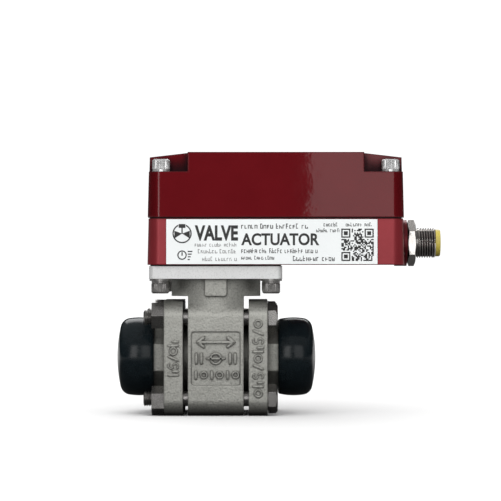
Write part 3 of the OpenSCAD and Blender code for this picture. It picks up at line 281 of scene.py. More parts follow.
def cast_steel():
    """Shot-blasted stainless casting: fine peened grain, shallow dimples, painted shade in its hollows
    and recesses, and brighter edges that are part wear and part painted highlight.
    """
    f = Finish("cast_stainless", Metallic=0.88)
    edge_wear_and_painted_light = f.edges(0.7, 0.35)
    clouds = f.noise(9, 5, 0.62)
    grain = f.noise(0.75, 3, 0.65)
    peen = f.cells(0.9)
    tone = f.blend(f.ramp(clouds, 0.3, 0.7), (0.42, 0.42, 0.385, 1), (0.52, 0.52, 0.48, 1))
    tone = f.blend(f.ramp(grain, 0.35, 0.7, 0, 0.6), tone, (0.65, 0.645, 0.60, 1))
    tone = f.blend(f.ramp(grain, 0.46, 0.3, 0, 0.5), tone, (0.22, 0.218, 0.20, 1))
    # Brighter edges: part wear, part painted highlight.
    tone = f.blend(f.product(edge_wear_and_painted_light, 0.4), tone, (0.8, 0.78, 0.73, 1))
    # Painted shade: narrow hollows darken, and broad recesses and the spaces under other parts darken
    # further.
    tone = f.blend(f.hollows(2.0, 0.35), tone, (0.20, 0.195, 0.18, 1))
    f.wear(Base_Color=f.blend(f.product(f.hollows(9.0, 0.2, 0.75), 0.7), tone,
                              (0.11, 0.108, 0.10, 1)))
    f.wear(Roughness=f.ramp(grain, 0.3, 0.7, 0.36, 0.50))
    f.bump(clouds, 0.20)
    f.bump(peen, 0.05)
    f.bump(grain, 0.09)
    return f.done()


def blasted_aluminium():
    """Bead-blasted plate: even, pale and matt, with a tight grain."""
    f = Finish("blasted_aluminium", Metallic=0.65)
    edge_wear_and_painted_light = f.edges(0.35)
    clouds = f.noise(12, 4, 0.6)
    grain = f.noise(0.6, 2, 0.7)
    tone = f.blend(f.ramp(clouds, 0.3, 0.7), (0.85, 0.855, 0.85, 1), (0.94, 0.945, 0.94, 1))
    tone = f.blend(f.ramp(grain, 0.5, 0.25, 0, 0.3), tone, (0.40, 0.40, 0.39, 1))
    f.wear(Base_Color=f.blend(f.product(edge_wear_and_painted_light, 0.5), tone, (0.85, 0.85, 0.84, 1)))
    f.wear(Roughness=f.ramp(grain, 0.3, 0.7, 0.45, 0.6))
    f.bump(grain, 0.035)
    return f.done()


def paint(name, dark, light, rough, peel_depth, wave_depth, coat, coat_rough, edge_shade):
    """Metallic red enamel under clear lacquer: flake, orange peel over slow waves, and painted shade on
    its rounded edges and in its recesses, where its lacquer shine is also cut back.
    """
    f = Finish(name, Metallic=0.7, Specular_IOR_Level=0.1, Coat_Roughness=coat_rough)
    edge_wear_and_painted_light = f.edges(0.8, 0.5)
    clouds = f.noise(22, 4, 0.6)
    waves = f.noise(9, 3, 0.6)
    peel = f.noise(1.6, 2, 0.5)
    fine = f.noise(0.35, 2, 0.6)
    tone = f.blend(f.ramp(clouds, 0.3, 0.7), dark, light)
    # Painted shade: the rounded edges are darkened.
    tone = f.blend(f.product(edge_wear_and_painted_light, edge_shade), tone, (0.03, 0.008, 0.011, 1))
    # Painted shade: recesses are darkened and lose most of their lacquer shine.
    hollow = f.hollows(6.0, 0.5, 0.95)
    f.wear(Base_Color=f.blend(hollow, tone, (0.022, 0.006, 0.008, 1)))
    f.wear(Coat_Weight=f.ramp(hollow, 0.0, 0.9, coat, 0.05 * coat))
    f.wear(Roughness=f.ramp(fine, 0.3, 0.7, rough[0], rough[1]))
    f.bump(waves, wave_depth)
    f.bump(peel, peel_depth)
    f.tree.links.new(f.normal, f.surface.inputs["Coat Normal"])
    return f.done()


def black_vinyl():
    """Dip-moulded cap: dark, waxy and slightly wavy, with faint bloom."""
    f = Finish("black_vinyl", Specular_IOR_Level=0.27)
    waves = f.noise(9, 2, 0.5)
    bloom = f.noise(3, 5, 0.65)
    fine = f.noise(0.4, 2, 0.6)
    f.wear(Base_Color=f.blend(f.ramp(bloom, 0.4, 0.75), (0.0042, 0.0070, 0.0086, 1),
                              (0.0070, 0.0108, 0.0130, 1)))
    f.wear(Roughness=f.ramp(bloom, 0.3, 0.7, 0.13, 0.21))
    f.bump(waves, 0.15)
    f.bump(fine, 0.003)
    return f.done()


def label_film():
    """Printed polyester label: white, satin, with a faint weave of the print head."""
    f = Finish("printed_label", Specular_IOR_Level=0.4)
    clouds = f.noise(15, 3, 0.5)
    fine = f.noise(0.3, 2, 0.6)
    f.edges(0.06)
    f.wear(Base_Color=f.blend(f.ramp(clouds, 0.3, 0.7), (0.76, 0.785, 0.785, 1),
                              (0.81, 0.835, 0.835, 1)))
    f.wear(Roughness=f.ramp(fine, 0.3, 0.7, 0.38, 0.52))
    f.bump(clouds, 0.02)
    return f.done()


def green_board():
    """Solder mask over traces: faint raised lines under a glossy green film."""
    f = Finish("green_board", Coat_Weight=0.5, Coat_Roughness=0.15)
    traces = f.add("ShaderNodeTexBrick", {
        "Vector": f.place, "Scale": 1 / (12 * MM), "Mortar Size": 0.02,
        "Color1": (0, 0, 0, 1), "Color2": (0, 0, 0, 1), "Mortar": (1, 1, 1, 1)}).outputs[0]
    fine = f.noise(0.5, 3, 0.6)
    tone = f.blend(f.ramp(fine, 0.3, 0.7), (0.010, 0.10, 0.035, 1), (0.014, 0.13, 0.045, 1))
    f.edges(0.1)
    f.wear(Base_Color=f.blend(traces, tone, (0.03, 0.22, 0.08, 1)))
    f.wear(Roughness=f.ramp(fine, 0.3, 0.7, 0.3, 0.45))
    f.bump(traces, 0.03)
    return f.done()


finishes = {
    "cast_stainless": cast_steel(),
    "machined_stainless": metal("machined_stainless", grey(0.28, 0.03), grey(0.43, 0.03), (0.2, 0.34),
                                stretch=(1, 1, 9), cloud=4),
    "bright_stainless": metal("bright_stainless", grey(0.85), grey(0.97), (0.18, 0.3), 0.3, 0.002,
                              cloud=3, edge=0.12, metallic=0.85),
    "spring_steel": metal("spring_steel", grey(0.16, 0.03), grey(0.3, 0.03), (0.25, 0.4)),
    "gear_steel": metal("gear_steel", grey(0.28, 0.02), grey(0.42, 0.02), (0.22, 0.36)),
    "black_steel": metal("black_steel", grey(0.30, 0.03), grey(0.42, 0.03), (0.24, 0.36), 0.3, 0.003,
                         3, edge=0.12, glint=2.2),
    "blasted_aluminium": blasted_aluminium(),
    "red_base_paint": paint("red_base_paint", (0.27, 0.017, 0.025, 1), (0.32, 0.022, 0.032, 1),
                            (0.30, 0.38), 0.012, 0.02, 0.8, 0.28, 0.5),
    "red_cover_paint": paint("red_cover_paint", (0.118, 0.0032, 0.0062, 1),
                             (0.140, 0.0045, 0.0080, 1), (0.38, 0.44), 0.0012, 0.019, 0.85, 0.035, 0.8),
    "black_vinyl": black_vinyl(),
    "black_rubber": plastic("black_rubber", grey(0.008), grey(0.016), (0.5, 0.7)),
    "seat_plastic": plastic("seat_plastic", grey(0.6), grey(0.75), (0.3, 0.45)),
    "bronze": metal("bronze", (0.38, 0.20, 0.08, 1), (0.60, 0.36, 0.16, 1), (0.28, 0.42)),
    "copper": metal("copper", (0.55, 0.19, 0.08, 1), (0.80, 0.36, 0.18, 1), (0.2, 0.34),
                    stretch=(1, 1, 12)),
    "green_board": green_board(),
    "component_plastic": plastic("component_plastic", grey(0.012), grey(0.03), (0.35, 0.5)),
    # The nickel plate gets painted shade in its thread roots.
    "nickel_plate": metal("nickel_plate", grey(0.66, 0.04), grey(0.88, 0.04), (0.08, 0.16), 0.5,
                          0.0015, cloud=5, edge=0.12, hollow_shade=1.2),
    "yellow_insert": plastic("yellow_insert", (0.42, 0.33, 0.045, 1), (0.52, 0.42, 0.065, 1),
                             (0.35, 0.5)),
    "gold_plate": metal("gold_plate", (0.70, 0.45, 0.14, 1), (0.90, 0.62, 0.24, 1), (0.12, 0.24)),
    "lead_insulation": plastic("lead_insulation", grey(0.02), grey(0.05), (0.4, 0.55)),
    "printed_label": label_film(),
}

for part in frame["record"]["subparts"]:
    surfaces = nodes[part["node"]].data.materials
    surfaces.clear()
    surfaces.append(finishes[part["material_slot"]])


# ------------------------------------------------------------------ fasteners

def socket_head(bm, place, radius, height, depth, flutes, socket_af):
    """Cylinder head with a knurled side, a turned top edge and a hexagon socket."""
    count = flutes * 8
    side = fluted(radius, depth, flutes)
    rings = [
        round_ring(0, radius * 0.5, count),
        round_ring(0, radius - depth, count),
        round_ring(0.06 * height, side, count),
        round_ring(0.86 * height, side, count),
        round_ring(0.94 * height, radius - depth * 1.05, count),
        round_ring(height, radius * 0.83, count),
        round_ring(height, hexagon(socket_af * 1.09, socket_af * 0.585), count),
        round_ring(height * 0.95, hexagon(socket_af, socket_af * 0.57), count),
        round_ring(height * 0.42, hexagon(socket_af, socket_af * 0.57), count),
        round_ring(height * 0.30, socket_af * 0.12, count),
    ]
    skin(bm, rings, place)


def shank(bm, place, radius, length, pitch):
    """Threaded shank below a head whose underside is the origin."""
    count = 32
    rings = [round_ring(-length, radius * 0.72, count)]
    rings += thread_rings(-length + 0.3 * MM, -0.8 * MM, radius, 0.55 * pitch, pitch, count)
    rings += [round_ring(-0.7 * MM, radius, count), round_ring(0.1 * MM, radius, count)]
    skin(bm, rings, place)


SCREW_R = 2.0 * MM
HEAD_R = 3.5 * MM
HEAD_T = 4.0 * MM
SOCKET_AF = 3.0 * MM
M4_PITCH = 0.7 * MM


def corner_places(node, inset, z):
    """The four corners of a node's box, moved in by an inset, at one height."""
    low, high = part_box(node)
    return [Vector((x, y, z)) for x in (low.x + inset, high.x - inset)
            for y in (low.y + inset, high.y - inset)]


def cover_screws():
    """Bright screws that stand in the cover's corner notches."""
    low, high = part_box("cover_screws")
    head_z = high.z - HEAD_T
    bm = bmesh.new()
    for k, p in enumerate(corner_places("cover_screws", HEAD_R, head_z)):
        place = along(p, (0, 0, 1)) @ Matrix.Rotation(0.37 * k, 4, "Z")
        socket_head(bm, place, HEAD_R, HEAD_T, 0.34 * MM, 22, SOCKET_AF)
        shank(bm, place, SCREW_R, head_z - low.z, M4_PITCH)
    make_piece("cover_screw_set", bm, "housing",
               finishes["bright_stainless"], ["cover_screws"])


def plate_screws():
    """Black screws whose knurled heads hang under the mounting plate."""
    low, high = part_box("plate_screws")
    head_z = low.z + HEAD_T
    bm = bmesh.new()
    for k, p in enumerate(corner_places("plate_screws", HEAD_R, head_z)):
        place = along(p, (0, 0, -1)) @ Matrix.Rotation(0.5 * k, 4, "Z")
        socket_head(bm, place, HEAD_R, HEAD_T, 0.22 * MM, 30, SOCKET_AF)
        shank(bm, place, SCREW_R, high.z - head_z, M4_PITCH)
    make_piece("plate_screw_set", bm, "housing",
               finishes["black_steel"], ["plate_screws"])


BOLT_R = 3.0 * MM
BOLT_AF = 10 * MM
BOLT_HEAD_T = 4.0 * MM
BOLT_THREAD = 15 * MM
M6_PITCH = 1.0 * MM
FLANGE_T = 7.4 * MM


def tapering_hexagon(start, end, across_flats, first_circle, last_circle, steps, count):
    """Rings of a hexagon whose turned chamfer goes from one circle to another."""
    rings = []
    for k in range(steps + 1):
        share = k / steps
        circle = first_circle + share * (last_circle - first_circle)
        rings.append(round_ring(start + share * (end - start), hexagon(across_flats, circle), count))
    return rings


def body_bolts():
    """Long bolts through both flanges: chamfered hexagon heads and threaded ends."""
    low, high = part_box("body_bolts")
    corner = BOLT_AF / 2 / math.cos(math.pi / 6)
    head_x = high.x - BOLT_HEAD_T
    half_y = high.y - BOLT_AF / 2
    middle_z = (low.z + high.z) / 2
    half_z = high.z - corner - middle_z
    end = low.x - head_x
    thread_end = end + BOLT_THREAD
    washer_face_r, washer_face_t = BOLT_AF * 0.46, 0.3 * MM
    head_count, shank_count = 96, 48
    head = [
        round_ring(0, BOLT_AF * 0.3, head_count),
        round_ring(0, washer_face_r, head_count),
        round_ring(washer_face_t, washer_face_r, head_count),
        round_ring(washer_face_t, hexagon(BOLT_AF, corner), head_count),
    ]
    head += tapering_hexagon(BOLT_HEAD_T * 0.8, BOLT_HEAD_T, BOLT_AF, corner, BOLT_AF * 0.475, 6,
                             head_count)
    rod = [round_ring(end, BOLT_R * 0.62, shank_count), round_ring(end, BOLT_R * 0.72, shank_count)]
    rod += thread_rings(end + 0.5 * MM, thread_end, BOLT_R, 0.6 * MM, M6_PITCH, shank_count,
                        fade=0.6)
    rod += [round_ring(thread_end + 0.4 * MM, BOLT_R, shank_count),
            round_ring(0.1 * MM, BOLT_R, shank_count)]
    bm = bmesh.new()
    for sy in (-1, 1):
        for sz in (-1, 1):
            place = along((head_x, sy * half_y, middle_z + sz * half_z), (1, 0, 0))
            skin(bm, head, place)
            skin(bm, rod, place)
    make_piece("body_bolt_set", bm, "housing",
               finishes["machined_stainless"], ["body_bolts"])


def port_threads():
    """Pipe threads inside both end fittings, seen when the dust caps are off."""
    low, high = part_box("right_end_fitting")
    middle_z = (low.z + high.z) / 2
    bore, ridge, pitch, count = 9.9 * MM, 0.45 * MM, 1.814 * MM, 96
    inner, outer = high.x - 13.5 * MM, high.x - 1.0 * MM
    rooted_r = bore + 0.1 * MM
    rings = thread_rings(inner, outer, bore, ridge, pitch, count, fade=0.8)
    rings += [round_ring(outer, rooted_r, count), round_ring(inner, rooted_r, count)]
    bm = bmesh.new()
    for side in (-1, 1):
        skin(bm, rings, along((0, 0, middle_z), (side, 0, 0)), loop=True)
    make_piece("port_threads", bm, "housing", finishes["machined_stainless"],
               sharp=50)


cover_screws()
plate_screws()
body_bolts()
port_threads()


# ------------------------------------------------------------------ connector

def connector_shell():
    """Nickel-plated inlet: hexagon with turned corners, and an M12 thread."""
    low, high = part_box("connector_shell")
    middle_z = (low.z + high.z) / 2
    hex_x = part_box("connector_seal")[1].x
    insert = (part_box("connector_insert")[1].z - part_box("connector_insert")[0].z) / 2
    bore = insert + 0.02 * MM
    hex_t = 3.2 * MM
    hex_af = 16 * MM
    corner = hex_af / 2 / math.cos(math.pi / 6)
    thread_r = 6.0 * MM
    rear_r = 7.5 * MM
    count = 96
    place = along((low.x, 0, middle_z), (1, 0, 0))
    start = hex_x - low.x
    length = high.x - low.x
    rear_chamfer, hex_chamfer = 0.4 * MM, 0.55 * MM
    turned_r = hex_af * 0.485
    neck = start + hex_t
    relief_r = thread_r - 0.45 * MM
    rings = [round_ring(0, bore, count), round_ring(0, rear_r - rear_chamfer, count),
             round_ring(rear_chamfer, rear_r, count), round_ring(start, rear_r, count)]
    rings += tapering_hexagon(start, start + hex_chamfer, hex_af, turned_r, corner, 4, count)
    rings += tapering_hexagon(neck - hex_chamfer, neck, hex_af, corner, turned_r, 4, count)
    rings += [round_ring(neck, thread_r + 0.25 * MM, count),
              round_ring(neck + 0.25 * MM, relief_r, count),
              round_ring(neck + 0.7 * MM, relief_r, count)]
    rings += thread_rings(neck + 0.8 * MM, length - 0.45 * MM, thread_r, 0.62 * MM, 1.0 * MM, count,
                          fade=0.5, fineness=16)
    rings += [round_ring(length - 0.3 * MM, thread_r - 0.2 * MM, count),
              round_ring(length, thread_r - 0.5 * MM, count), round_ring(length, bore, count)]
    bm = bmesh.new()
    skin(bm, rings, place, loop=True)
    make_piece("connector_inlet", bm, "housing",
               finishes["nickel_plate"], ["connector_shell"])


connector_shell()


# ------------------------------------------------------------------ dust caps

def arc_points(centre, radius, start, end, steps):
    """Points (height, radius) on a profile arc, its angles measured from straight out."""
    points = []
    for k in range(steps + 1):
        a = start + (end - start) * k / steps
        points.append((centre[0] + radius * math.sin(a), centre[1] + radius * math.cos(a)))
    return points


def dust_cap(side, body, node):
    """Dip-moulded cap: barrelled side, soft round corner, domed end and a rounded open lip."""
    low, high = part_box(node)
    middle_z = (low.z + high.z) / 2
    radius = (high.z - low.z) / 2
    length = high.x - low.x
    open_x = low.x if side > 0 else high.x
    place = along((open_x, 0, middle_z), (side, 0, 0))
    wall, end_wall, lip_wall = 1.5 * MM, 2.0 * MM, 0.5 * MM
    count = 96
    barrel_r, corner_r, dome_r = 26 * MM, 4.2 * MM, 55 * MM
    crest, corner_setback = 6.2 * MM, 5.56 * MM
    rim_drop, rim_depth = 2.3 * MM, 3.2 * MM
    lip = (crest - lip_wall) / barrel_r
    corner_x = length - corner_setback
    turn = math.asin((corner_x - crest) / (barrel_r - corner_r))
    corner_y = radius - barrel_r + (barrel_r - corner_r) * math.cos(turn)
    dome_turn = math.acos(corner_y / (dome_r - corner_r))
    dome_x = corner_x - (dome_r - corner_r) * math.sin(dome_turn)
    inner_r = radius - wall
    inner_end = length - end_wall
    outer = [(0.0, inner_r + 0.2 * MM), (0.12 * MM, inner_r + lip_wall)]
    outer += arc_points((crest, radius - barrel_r), barrel_r, -lip, turn, 14)
    outer += arc_points((corner_x, corner_y), corner_r, turn, dome_turn, 12)[1:]
    outer += arc_points((dome_x, 0), dome_r, dome_turn, math.radians(89.4), 8)[1:]
    inner = [(inner_end, 0.5 * MM), (inner_end, inner_r - rim_drop),
             (inner_end - rim_depth, inner_r), (0.0, inner_r)]
    bm = bmesh.new()
    skin(bm, [round_ring(h, r, count) for h, r in inner + outer], place)
    make_piece(node + "_moulding", bm, body, finishes["black_vinyl"], [node])


dust_cap(-1, "left_cap", "left_dust_cap")
dust_cap(1, "right_cap", "right_dust_cap")


# ------------------------------------------------------------------ label print

class Print:
    """Ink on the label: flat shapes on a plane that leans with the housing's side."""

    def __init__(self, name, material):
        low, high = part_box("rating_label")
        self.width = high.x - low.x
        self.height = high.z - low.z
        film = 0.15 * MM
        lift = 0.012 * MM
        lean = (high.y - low.y - film) / self.height
        self.origin = Vector((low.x, low.y - lift, low.z))
        self.right = Vector((1, 0, 0))
        self.up = Vector((0, lean, 1)).normalized()
        self.out = self.right.cross(self.up)
        self.ink = 0.03 * MM
        self.name, self.material = name, material
        self.bm = bmesh.new()

    def at(self, u, v, w):
        """The point that lies u to the right, v up and w out from the label's lower left corner."""
        return self.origin + self.right * u + self.up * v + self.out * w

    def shape(self, outline):
        """A closed plate of ink from an outline of (u, v) points that runs anticlockwise."""
        face = [self.bm.verts.new(self.at(u, v, self.ink)) for u, v in outline]
        back = [self.bm.verts.new(self.at(u, v, -self.ink)) for u, v in outline]
        self.bm.faces.new(face)
        self.bm.faces.new(list(reversed(back)))
        for k in range(len(face)):
            n = (k + 1) % len(face)
            self.bm.faces.new((face[n], face[k], back[k], back[n]))

    def bar(self, u, v, width, height):
        self.shape([(u, v), (u + width, v), (u + width, v + height), (u, v + height)])

    def arc(self, u, v, radius, width, start=0, end=360):
        """A curved stroke, as a chain of short blocks."""
        steps = max(8, round((end - start) / 10))
        for k in range(steps):
            a = math.radians(start + (end - start) * k / steps)
            b = math.radians(start + (end - start) * (k + 1) / steps)
            inner, outer = radius - width / 2, radius + width / 2
            self.shape([(u + r * math.cos(t), v + r * math.sin(t))
                        for r, t in ((inner, a), (outer, a), (outer, b), (inner, b))])

    def words(self, text, u, v, height, weight, width):
        """Generic words in the plain built-in face, stretched to a total width."""
        cap_height = 0.7
        curve = bpy.data.curves.new("words", "FONT")
        curve.body = text
        curve.size = height / cap_height
        curve.offset = weight
        curve.resolution_u = 4
        curve.extrude = self.ink
        holder = bpy.data.objects.new("words", curve)
        scene.collection.objects.link(holder)
        bpy.context.view_layer.update()
        mesh = bpy.data.meshes.new_from_object(holder)
        bpy.data.objects.remove(holder)
        xs = [p.co.x for p in mesh.vertices]
        stretch = width / (max(xs) - min(xs))
        start = len(self.bm.verts)
        self.bm.from_mesh(mesh)
        self.bm.verts.ensure_lookup_table()
        for p in self.bm.verts[start:]:
            p.co = self.at(u + (p.co.x - min(xs)) * stretch, v + p.co.y, p.co.z)
        bpy.data.meshes.remove(mesh)

    def greek(self, u, v, width, height, pitch):
        """A line of small print, shown as letter-sized strokes in word groups."""
        x = u
        while x < u + width - pitch:
            for _ in range(rng.randint(3, 8)):
                if x > u + width - pitch:
                    break
                tall = height * rng.choice((0.7, 0.7, 1.0, 0.75))
                stroke = pitch * rng.choice((0.2, 0.24))
                gap = pitch * 0.38
                self.bar(x, v, stroke, tall)
                if rng.random() < 0.55:
                    self.bar(x + stroke + gap, v, stroke, height * rng.choice((0.7, 0.35)))
                for share in rng.sample((0.0, 0.4, 0.82), rng.choice((1, 2))):
                    self.bar(x + stroke, v + tall * share, gap, height * 0.15)
                x += pitch
            x += pitch * 0.7

    def code(self, u, v, size, cells):
        """A square block of random cells between three plain corner marks."""
        cell = size / cells
        mark = 7
        for row in range(cells):
            for column in range(cells):
                near_left, near_right = column < mark + 1, column >= cells - mark - 1
                near_top, near_bottom = row >= cells - mark - 1, row < mark + 1
                if (near_top and (near_left or near_right)) or (near_bottom and near_left):
                    continue
                if rng.random() < 0.5:
                    self.bar(u + column * cell, v + row * cell, cell, cell)
        for a, b in ((0, 0), (0, cells - mark), (cells - mark, cells - mark)):
            x, y, edge = u + a * cell, v + b * cell, mark * cell
            self.bar(x, y, edge, cell)
            self.bar(x, y + edge - cell, edge, cell)
            self.bar(x, y + cell, cell, edge - 2 * cell)
            self.bar(x + edge - cell, y + cell, cell, edge - 2 * cell)
            self.bar(x + 2 * cell, y + 2 * cell, edge - 4 * cell, edge - 4 * cell)

    def done(self):
        make_piece(self.name, self.bm, "housing", self.material)


def label_print():
    """Generic print: a valve symbol, plain words, small print and a random square code."""
    black = Print("label_print_black", finishes["component_plastic"])
    w, h = black.width, black.height
    u0, v0 = 0.075 * w, 0.68 * h
    black.arc(u0, v0, 3.5 * MM, 0.5 * MM, 115, 425)
    black.shape([(u0 - 3 * MM, v0 - 1.9 * MM), (u0, v0), (u0 - 3 * MM, v0 + 1.1 * MM)])
    black.shape([(u0 + 3 * MM, v0 + 1.1 * MM), (u0, v0), (u0 + 3 * MM, v0 - 1.9 * MM)])
    black.bar(u0 - 0.25 * MM, v0, 0.5 * MM, 2.4 * MM)
    black.bar(u0 - 1.3 * MM, v0 + 2.2 * MM, 2.6 * MM, 1.5 * MM)
    black.words("VALVE", 0.135 * w, 0.54 * h, 5.5 * MM, 0.3 * MM, 0.205 * w)
    black.words("ACTUATOR", 0.355 * w, 0.43 * h, 4.4 * MM, 0.18 * MM, 0.37 * w)
    # Small print: place and width as shares of the label, then letter height and pitch in millimetres.
    for u, v, width, height, pitch in (
            (0.355, 0.79, 0.33, 2.0, 1.3), (0.355, 0.245, 0.37, 1.9, 1.05),
            (0.355, 0.10, 0.165, 1.5, 0.9), (0.60, 0.07, 0.215, 2.0, 1.3),
            (0.745, 0.84, 0.08, 1.5, 0.95), (0.71, 0.71, 0.12, 1.5, 0.95),
            (0.85, 0.84, 0.125, 1.5, 0.95)):
        black.greek(u * w, v * h, width * w, height * MM, pitch * MM)
    black.code(0.829 * w, 0.07 * h, 12.6 * MM, 25)
    black.arc(u0, 0.2 * h, 1.6 * MM, 0.45 * MM)
    black.bar(u0 - 0.22 * MM, 0.2 * h - 0.22 * MM, 0.44 * MM, 1.4 * MM)
    for k in range(4):
        black.bar(u0 + 2.2 * MM, (0.09 + 0.06 * k) * h, (0.8 + 0.35 * k) * MM, 0.45 * MM)
    black.done()
    grey_ink = Print("label_print_grey", plastic("print_grey", grey(0.20), grey(0.26), (0.4, 0.5)))
    for u, v, width, height, pitch in ((0.135, 0.39, 0.21, 1.5, 1.0), (0.15, 0.24, 0.19, 1.7, 1.1),
                                       (0.17, 0.07, 0.17, 1.7, 1.1)):
        grey_ink.greek(u * w, v * h, width * w, height * MM, pitch * MM)
    grey_ink.done()


label_print()


# ------------------------------------------------------------------ cast marks

class Relief:
    """Raised marks on a casting: each is a low plateau with sloping sides."""

    root = -0.15 * MM

    def __init__(self, name, centre, right, up, height):
        self.name, self.centre, self.height = name, Vector(centre), height
        self.right, self.up = Vector(right), Vector(up)
        self.out = self.right.cross(self.up)
        self.bm = bmesh.new()

    def plateau(self, outline):
        """Raises an outline of (u, v) points that runs anticlockwise."""
        middle = Vector((sum(u for u, v in outline), sum(v for u, v in outline))) / len(outline)
        levels = ((1.0, self.root), (0.97, 0.55 * self.height), (0.86, 0.93 * self.height),
                  (0.70, self.height))
        rings = []
        for share, level in levels:
            ring = []
            for u, v in outline:
                p = middle + (Vector((u, v)) - middle) * share
                ring.append(self.centre + self.right * p.x + self.up * p.y + self.out * level)
            rings.append(ring)
        skin(self.bm, rings)

    def stroke(self, u0, v0, u1, v1, width):
        """A straight stroke with round ends."""
        heading = math.atan2(v1 - v0, u1 - u0)
        r = width / 2
        outline = []
        for u, v, turn in ((u1, v1, -90), (u0, v0, 90)):
            for k in range(7):
                a = heading + math.radians(turn + 30 * k)
                outline.append((u + r * math.cos(a), v + r * math.sin(a)))
        self.plateau(outline)

    def ring(self, u, v, radius, width, start=0, end=360):
        """A curved stroke as a swept ridge."""
        steps = max(6, round((end - start) / 12))
        closed = end - start >= 360
        sections = []
        for k in range(steps + (0 if closed else 1)):
            a = math.radians(start + (end - start) * k / steps)
            ring = []
            for side, level in ((-0.5, self.root), (-0.5, 0.35 * self.height), (-0.25, self.height),
                                (0.25, self.height), (0.5, 0.35 * self.height), (0.5, self.root)):
                r = radius + side * width
                ring.append(self.centre + self.right * (u + r * math.cos(a))
                            + self.up * (v + r * math.sin(a)) + self.out * level)
            sections.append(ring)
        skin(self.bm, sections, loop=closed)

    def done(self):
        make_piece(self.name, self.bm, "housing", finishes["cast_stainless"], sharp=50)


def cast_marks():
    """Generic foundry marks in the body's panel and up the front of both flanges."""
    low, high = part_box("right_end_fitting")
    axis_z = (low.z + high.z) / 2
    front = low.y
    width = 1.15 * MM
    panel_depth = 0.4 * MM
    marks = Relief("body_marks", (0, front + panel_depth, axis_z), (1, 0, 0), (0, 0, 1), 0.8 * MM)
    u, v = 7.2 * MM, 6.4 * MM
    half = 1.9 * MM
    marks.stroke(-u, v, u, v, width)
    for side in (-1, 1):
        marks.stroke(side * u, v, side * (u - 2.6 * MM), v + half, width)
        marks.stroke(side * u, v, side * (u - 2.6 * MM), v - half, width)
        for x in (7.6 * MM, 5.6 * MM):
            marks.stroke(side * x, -half, side * x, half, width)
    marks.ring(0, 0, 2.0 * MM, width)
    marks.stroke(-3.6 * MM, 0, 3.6 * MM, 0, width * 0.8)
    for k in range(6):
        x = (k - 2.5) * 3.1 * MM
        if k % 2:
            marks.ring(x, -v, 1.2 * MM, width * 0.8)
        else:
            marks.stroke(x, -v - 1.4 * MM, x, -v + 1.4 * MM, width)
    marks.done()

    flange_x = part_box("body_bolts")[1].x - BOLT_HEAD_T - FLANGE_T / 2
    for node, sign, rows, pitch in (("left_end_fitting", -1, 5, 2.9), ("right_end_fitting", 1, 9, 3.4)):
        heat = Relief(node + "_marks", (sign * flange_x, front, axis_z), (0, 0, 1), (-1, 0, 0), 0.48 * MM)
        for k in range(rows):
            t = (k - (rows - 1) / 2) * pitch * MM
            kind = (k * 3 + (1 + sign) // 2) % 4
            if kind == 0:
                heat.stroke(t - 0.7 * MM, -half, t - 0.7 * MM, half, 1.0 * MM)
                heat.stroke(t + 0.8 * MM, -half, t + 0.8 * MM, 0.2 * MM, 1.0 * MM)
            elif kind == 1:
                heat.ring(t, 0, 1.35 * MM, 0.95 * MM)
            elif kind == 2:
                heat.stroke(t - 0.8 * MM, -1.8 * MM, t + 0.8 * MM, 1.8 * MM, 1.0 * MM)
            else:
                heat.ring(t, -0.95 * MM, 0.95 * MM, 0.85 * MM, 200, 430)
                heat.ring(t, 1.0 * MM, 0.95 * MM, 0.85 * MM, 20, 250)
        heat.done()


cast_marks()


# ------------------------------------------------------------------ stage

def soft_box(name, corners, towards, radiance):
    """A rectangular softbox between two opposite corners, turned towards a direction."""
    low, high = Vector(corners[0]), Vector(corners[1])
    across = high - low
    data = bpy.data.lights.new(name, "AREA")
    data.shape = "RECTANGLE"
    data.size = across.x
    data.size_y = across.z
    data.energy = radiance * math.pi * data.size * data.size_y
    light = bpy.data.objects.new(name, data)
    scene.collection.objects.link(light)
    light.location = (low + high) / 2
    light.rotation_euler = Vector(towards).to_track_quat("-Z", "Y").to_euler()


def floor():
    """Plain pale floor. Onto the object it throws less light than it shows, as in a shaded room, and in
    reflections it is darkest near the object, a painted shadow.
    """
    bm = bmesh.new()
    half = 8.0
    corners = [bm.verts.new((x * half, y * half, 0)) for x, y in
               ((-1, -1), (1, -1), (1, 1), (-1, 1))]
    bm.faces.new(corners)
    mesh = bpy.data.meshes.new("floor")
    bm.to_mesh(mesh)
    bm.free()
    ground = bpy.data.objects.new("floor", mesh)
    scene.collection.objects.link(ground)
    ground.location.z = cad_box[0].z
    f = Finish("floor", Specular_IOR_Level=0.0, Roughness=1.0)
    path = f.add("ShaderNodeLightPath").outputs
    distance = f.add("ShaderNodeVectorMath", {0: f.place}, operation="LENGTH").outputs["Value"]
    # Painted shadow: in reflections the floor is darkest near the object.
    mirrored = f.blend(f.ramp(distance, 0.12, 0.5), (0.045, 0.045, 0.045, 1), (0.34, 0.34, 0.34, 1))
    thrown = f.blend(path["Is Glossy Ray"], (0.10, 0.10, 0.10, 1), mirrored)
    f.wear(Base_Color=f.blend(path["Is Camera Ray"], thrown, (0.70, 0.70, 0.70, 1)))
    mesh.materials.append(f.material)


def smooth_ramp(tree, value, low, high, start, end):
    """Eases from start to end while the value goes from low to high."""
    ramp = tree.nodes.new("ShaderNodeMapRange")
    ramp.interpolation_type = "SMOOTHSTEP"
    for socket, number in (("From Min", low), ("From Max", high), ("To Min", start), ("To Max", end)):
        ramp.inputs[socket].default_value = number
    tree.links.new(value, ramp.inputs["Value"])
    return ramp.outputs[0]


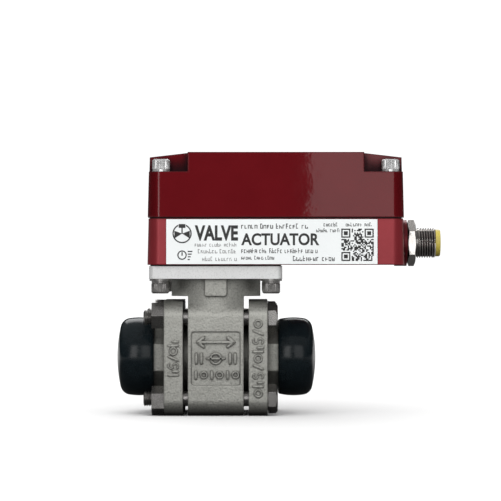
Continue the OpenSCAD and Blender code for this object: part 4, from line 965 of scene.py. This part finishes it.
def surroundings():
    """White light, strongest from above and in front, which glossy surfaces see as a dark room."""
    world = bpy.data.worlds.new("studio")
    scene.world = world
    world.use_nodes = True
    tree = world.node_tree
    back = tree.nodes["Background"]
    back.inputs["Color"].default_value = (1, 1, 1, 1)
    path = tree.nodes.new("ShaderNodeLightPath")
    place = tree.nodes.new("ShaderNodeTexCoord")
    split = tree.nodes.new("ShaderNodeSeparateXYZ")
    tree.links.new(place.outputs["Generated"], split.inputs[0])
    above = smooth_ramp(tree, split.outputs["Z"], 0.1, 0.95, 0.0, 1.35)
    front = smooth_ramp(tree, split.outputs["Y"], 0.0, -1.0, 0.26, 1.75)
    matt = tree.nodes.new("ShaderNodeMath")
    tree.links.new(above, matt.inputs[0])
    tree.links.new(front, matt.inputs[1])
    glossy = smooth_ramp(tree, split.outputs["Z"], 0.1, 0.95, 0.012, 0.33)
    backdrop = 1.1
    seen = tree.nodes.new("ShaderNodeMix")
    seen.inputs[3].default_value = backdrop
    tree.links.new(path.outputs["Is Camera Ray"], seen.inputs[0])
    tree.links.new(matt.outputs[0], seen.inputs[2])
    mix = tree.nodes.new("ShaderNodeMix")
    tree.links.new(path.outputs["Is Glossy Ray"], mix.inputs[0])
    tree.links.new(seen.outputs[0], mix.inputs[2])
    tree.links.new(glossy, mix.inputs[3])
    tree.links.new(mix.outputs[0], back.inputs["Strength"])


def studio():
    """Two tall softboxes behind the camera, on its left and right, and a wide one high at the back."""
    floor()
    surroundings()
    front, bottom, top = -1.6, 0.02, 1.1
    soft_box("front_right", ((0.074, front, bottom), (0.55, front, top)), (0, 1, 0), 1.38)
    soft_box("front_left", ((-0.46, front, bottom), (-0.14, front, top)), (0, 1, 0), 2.7)
    soft_box("back_high", ((-0.7, 1.3, 0.75), (0.7, 1.3, 1.6)), (0, -1, -0.75), 2.2)


def camera():
    """Level view along +Y from a metre away, centred a little right of the stem."""
    data = bpy.data.cameras.new("camera")
    data.lens = 179.64
    data.clip_start = 0.05
    data.clip_end = 30
    eye = bpy.data.objects.new("camera", data)
    scene.collection.objects.link(eye)
    eye.location = (13.6 * MM, -1.0, 64.9 * MM)
    eye.rotation_euler = (math.pi / 2, 0, 0)
    scene.camera = eye


studio()
camera()
scene.view_settings.view_transform = "Standard"
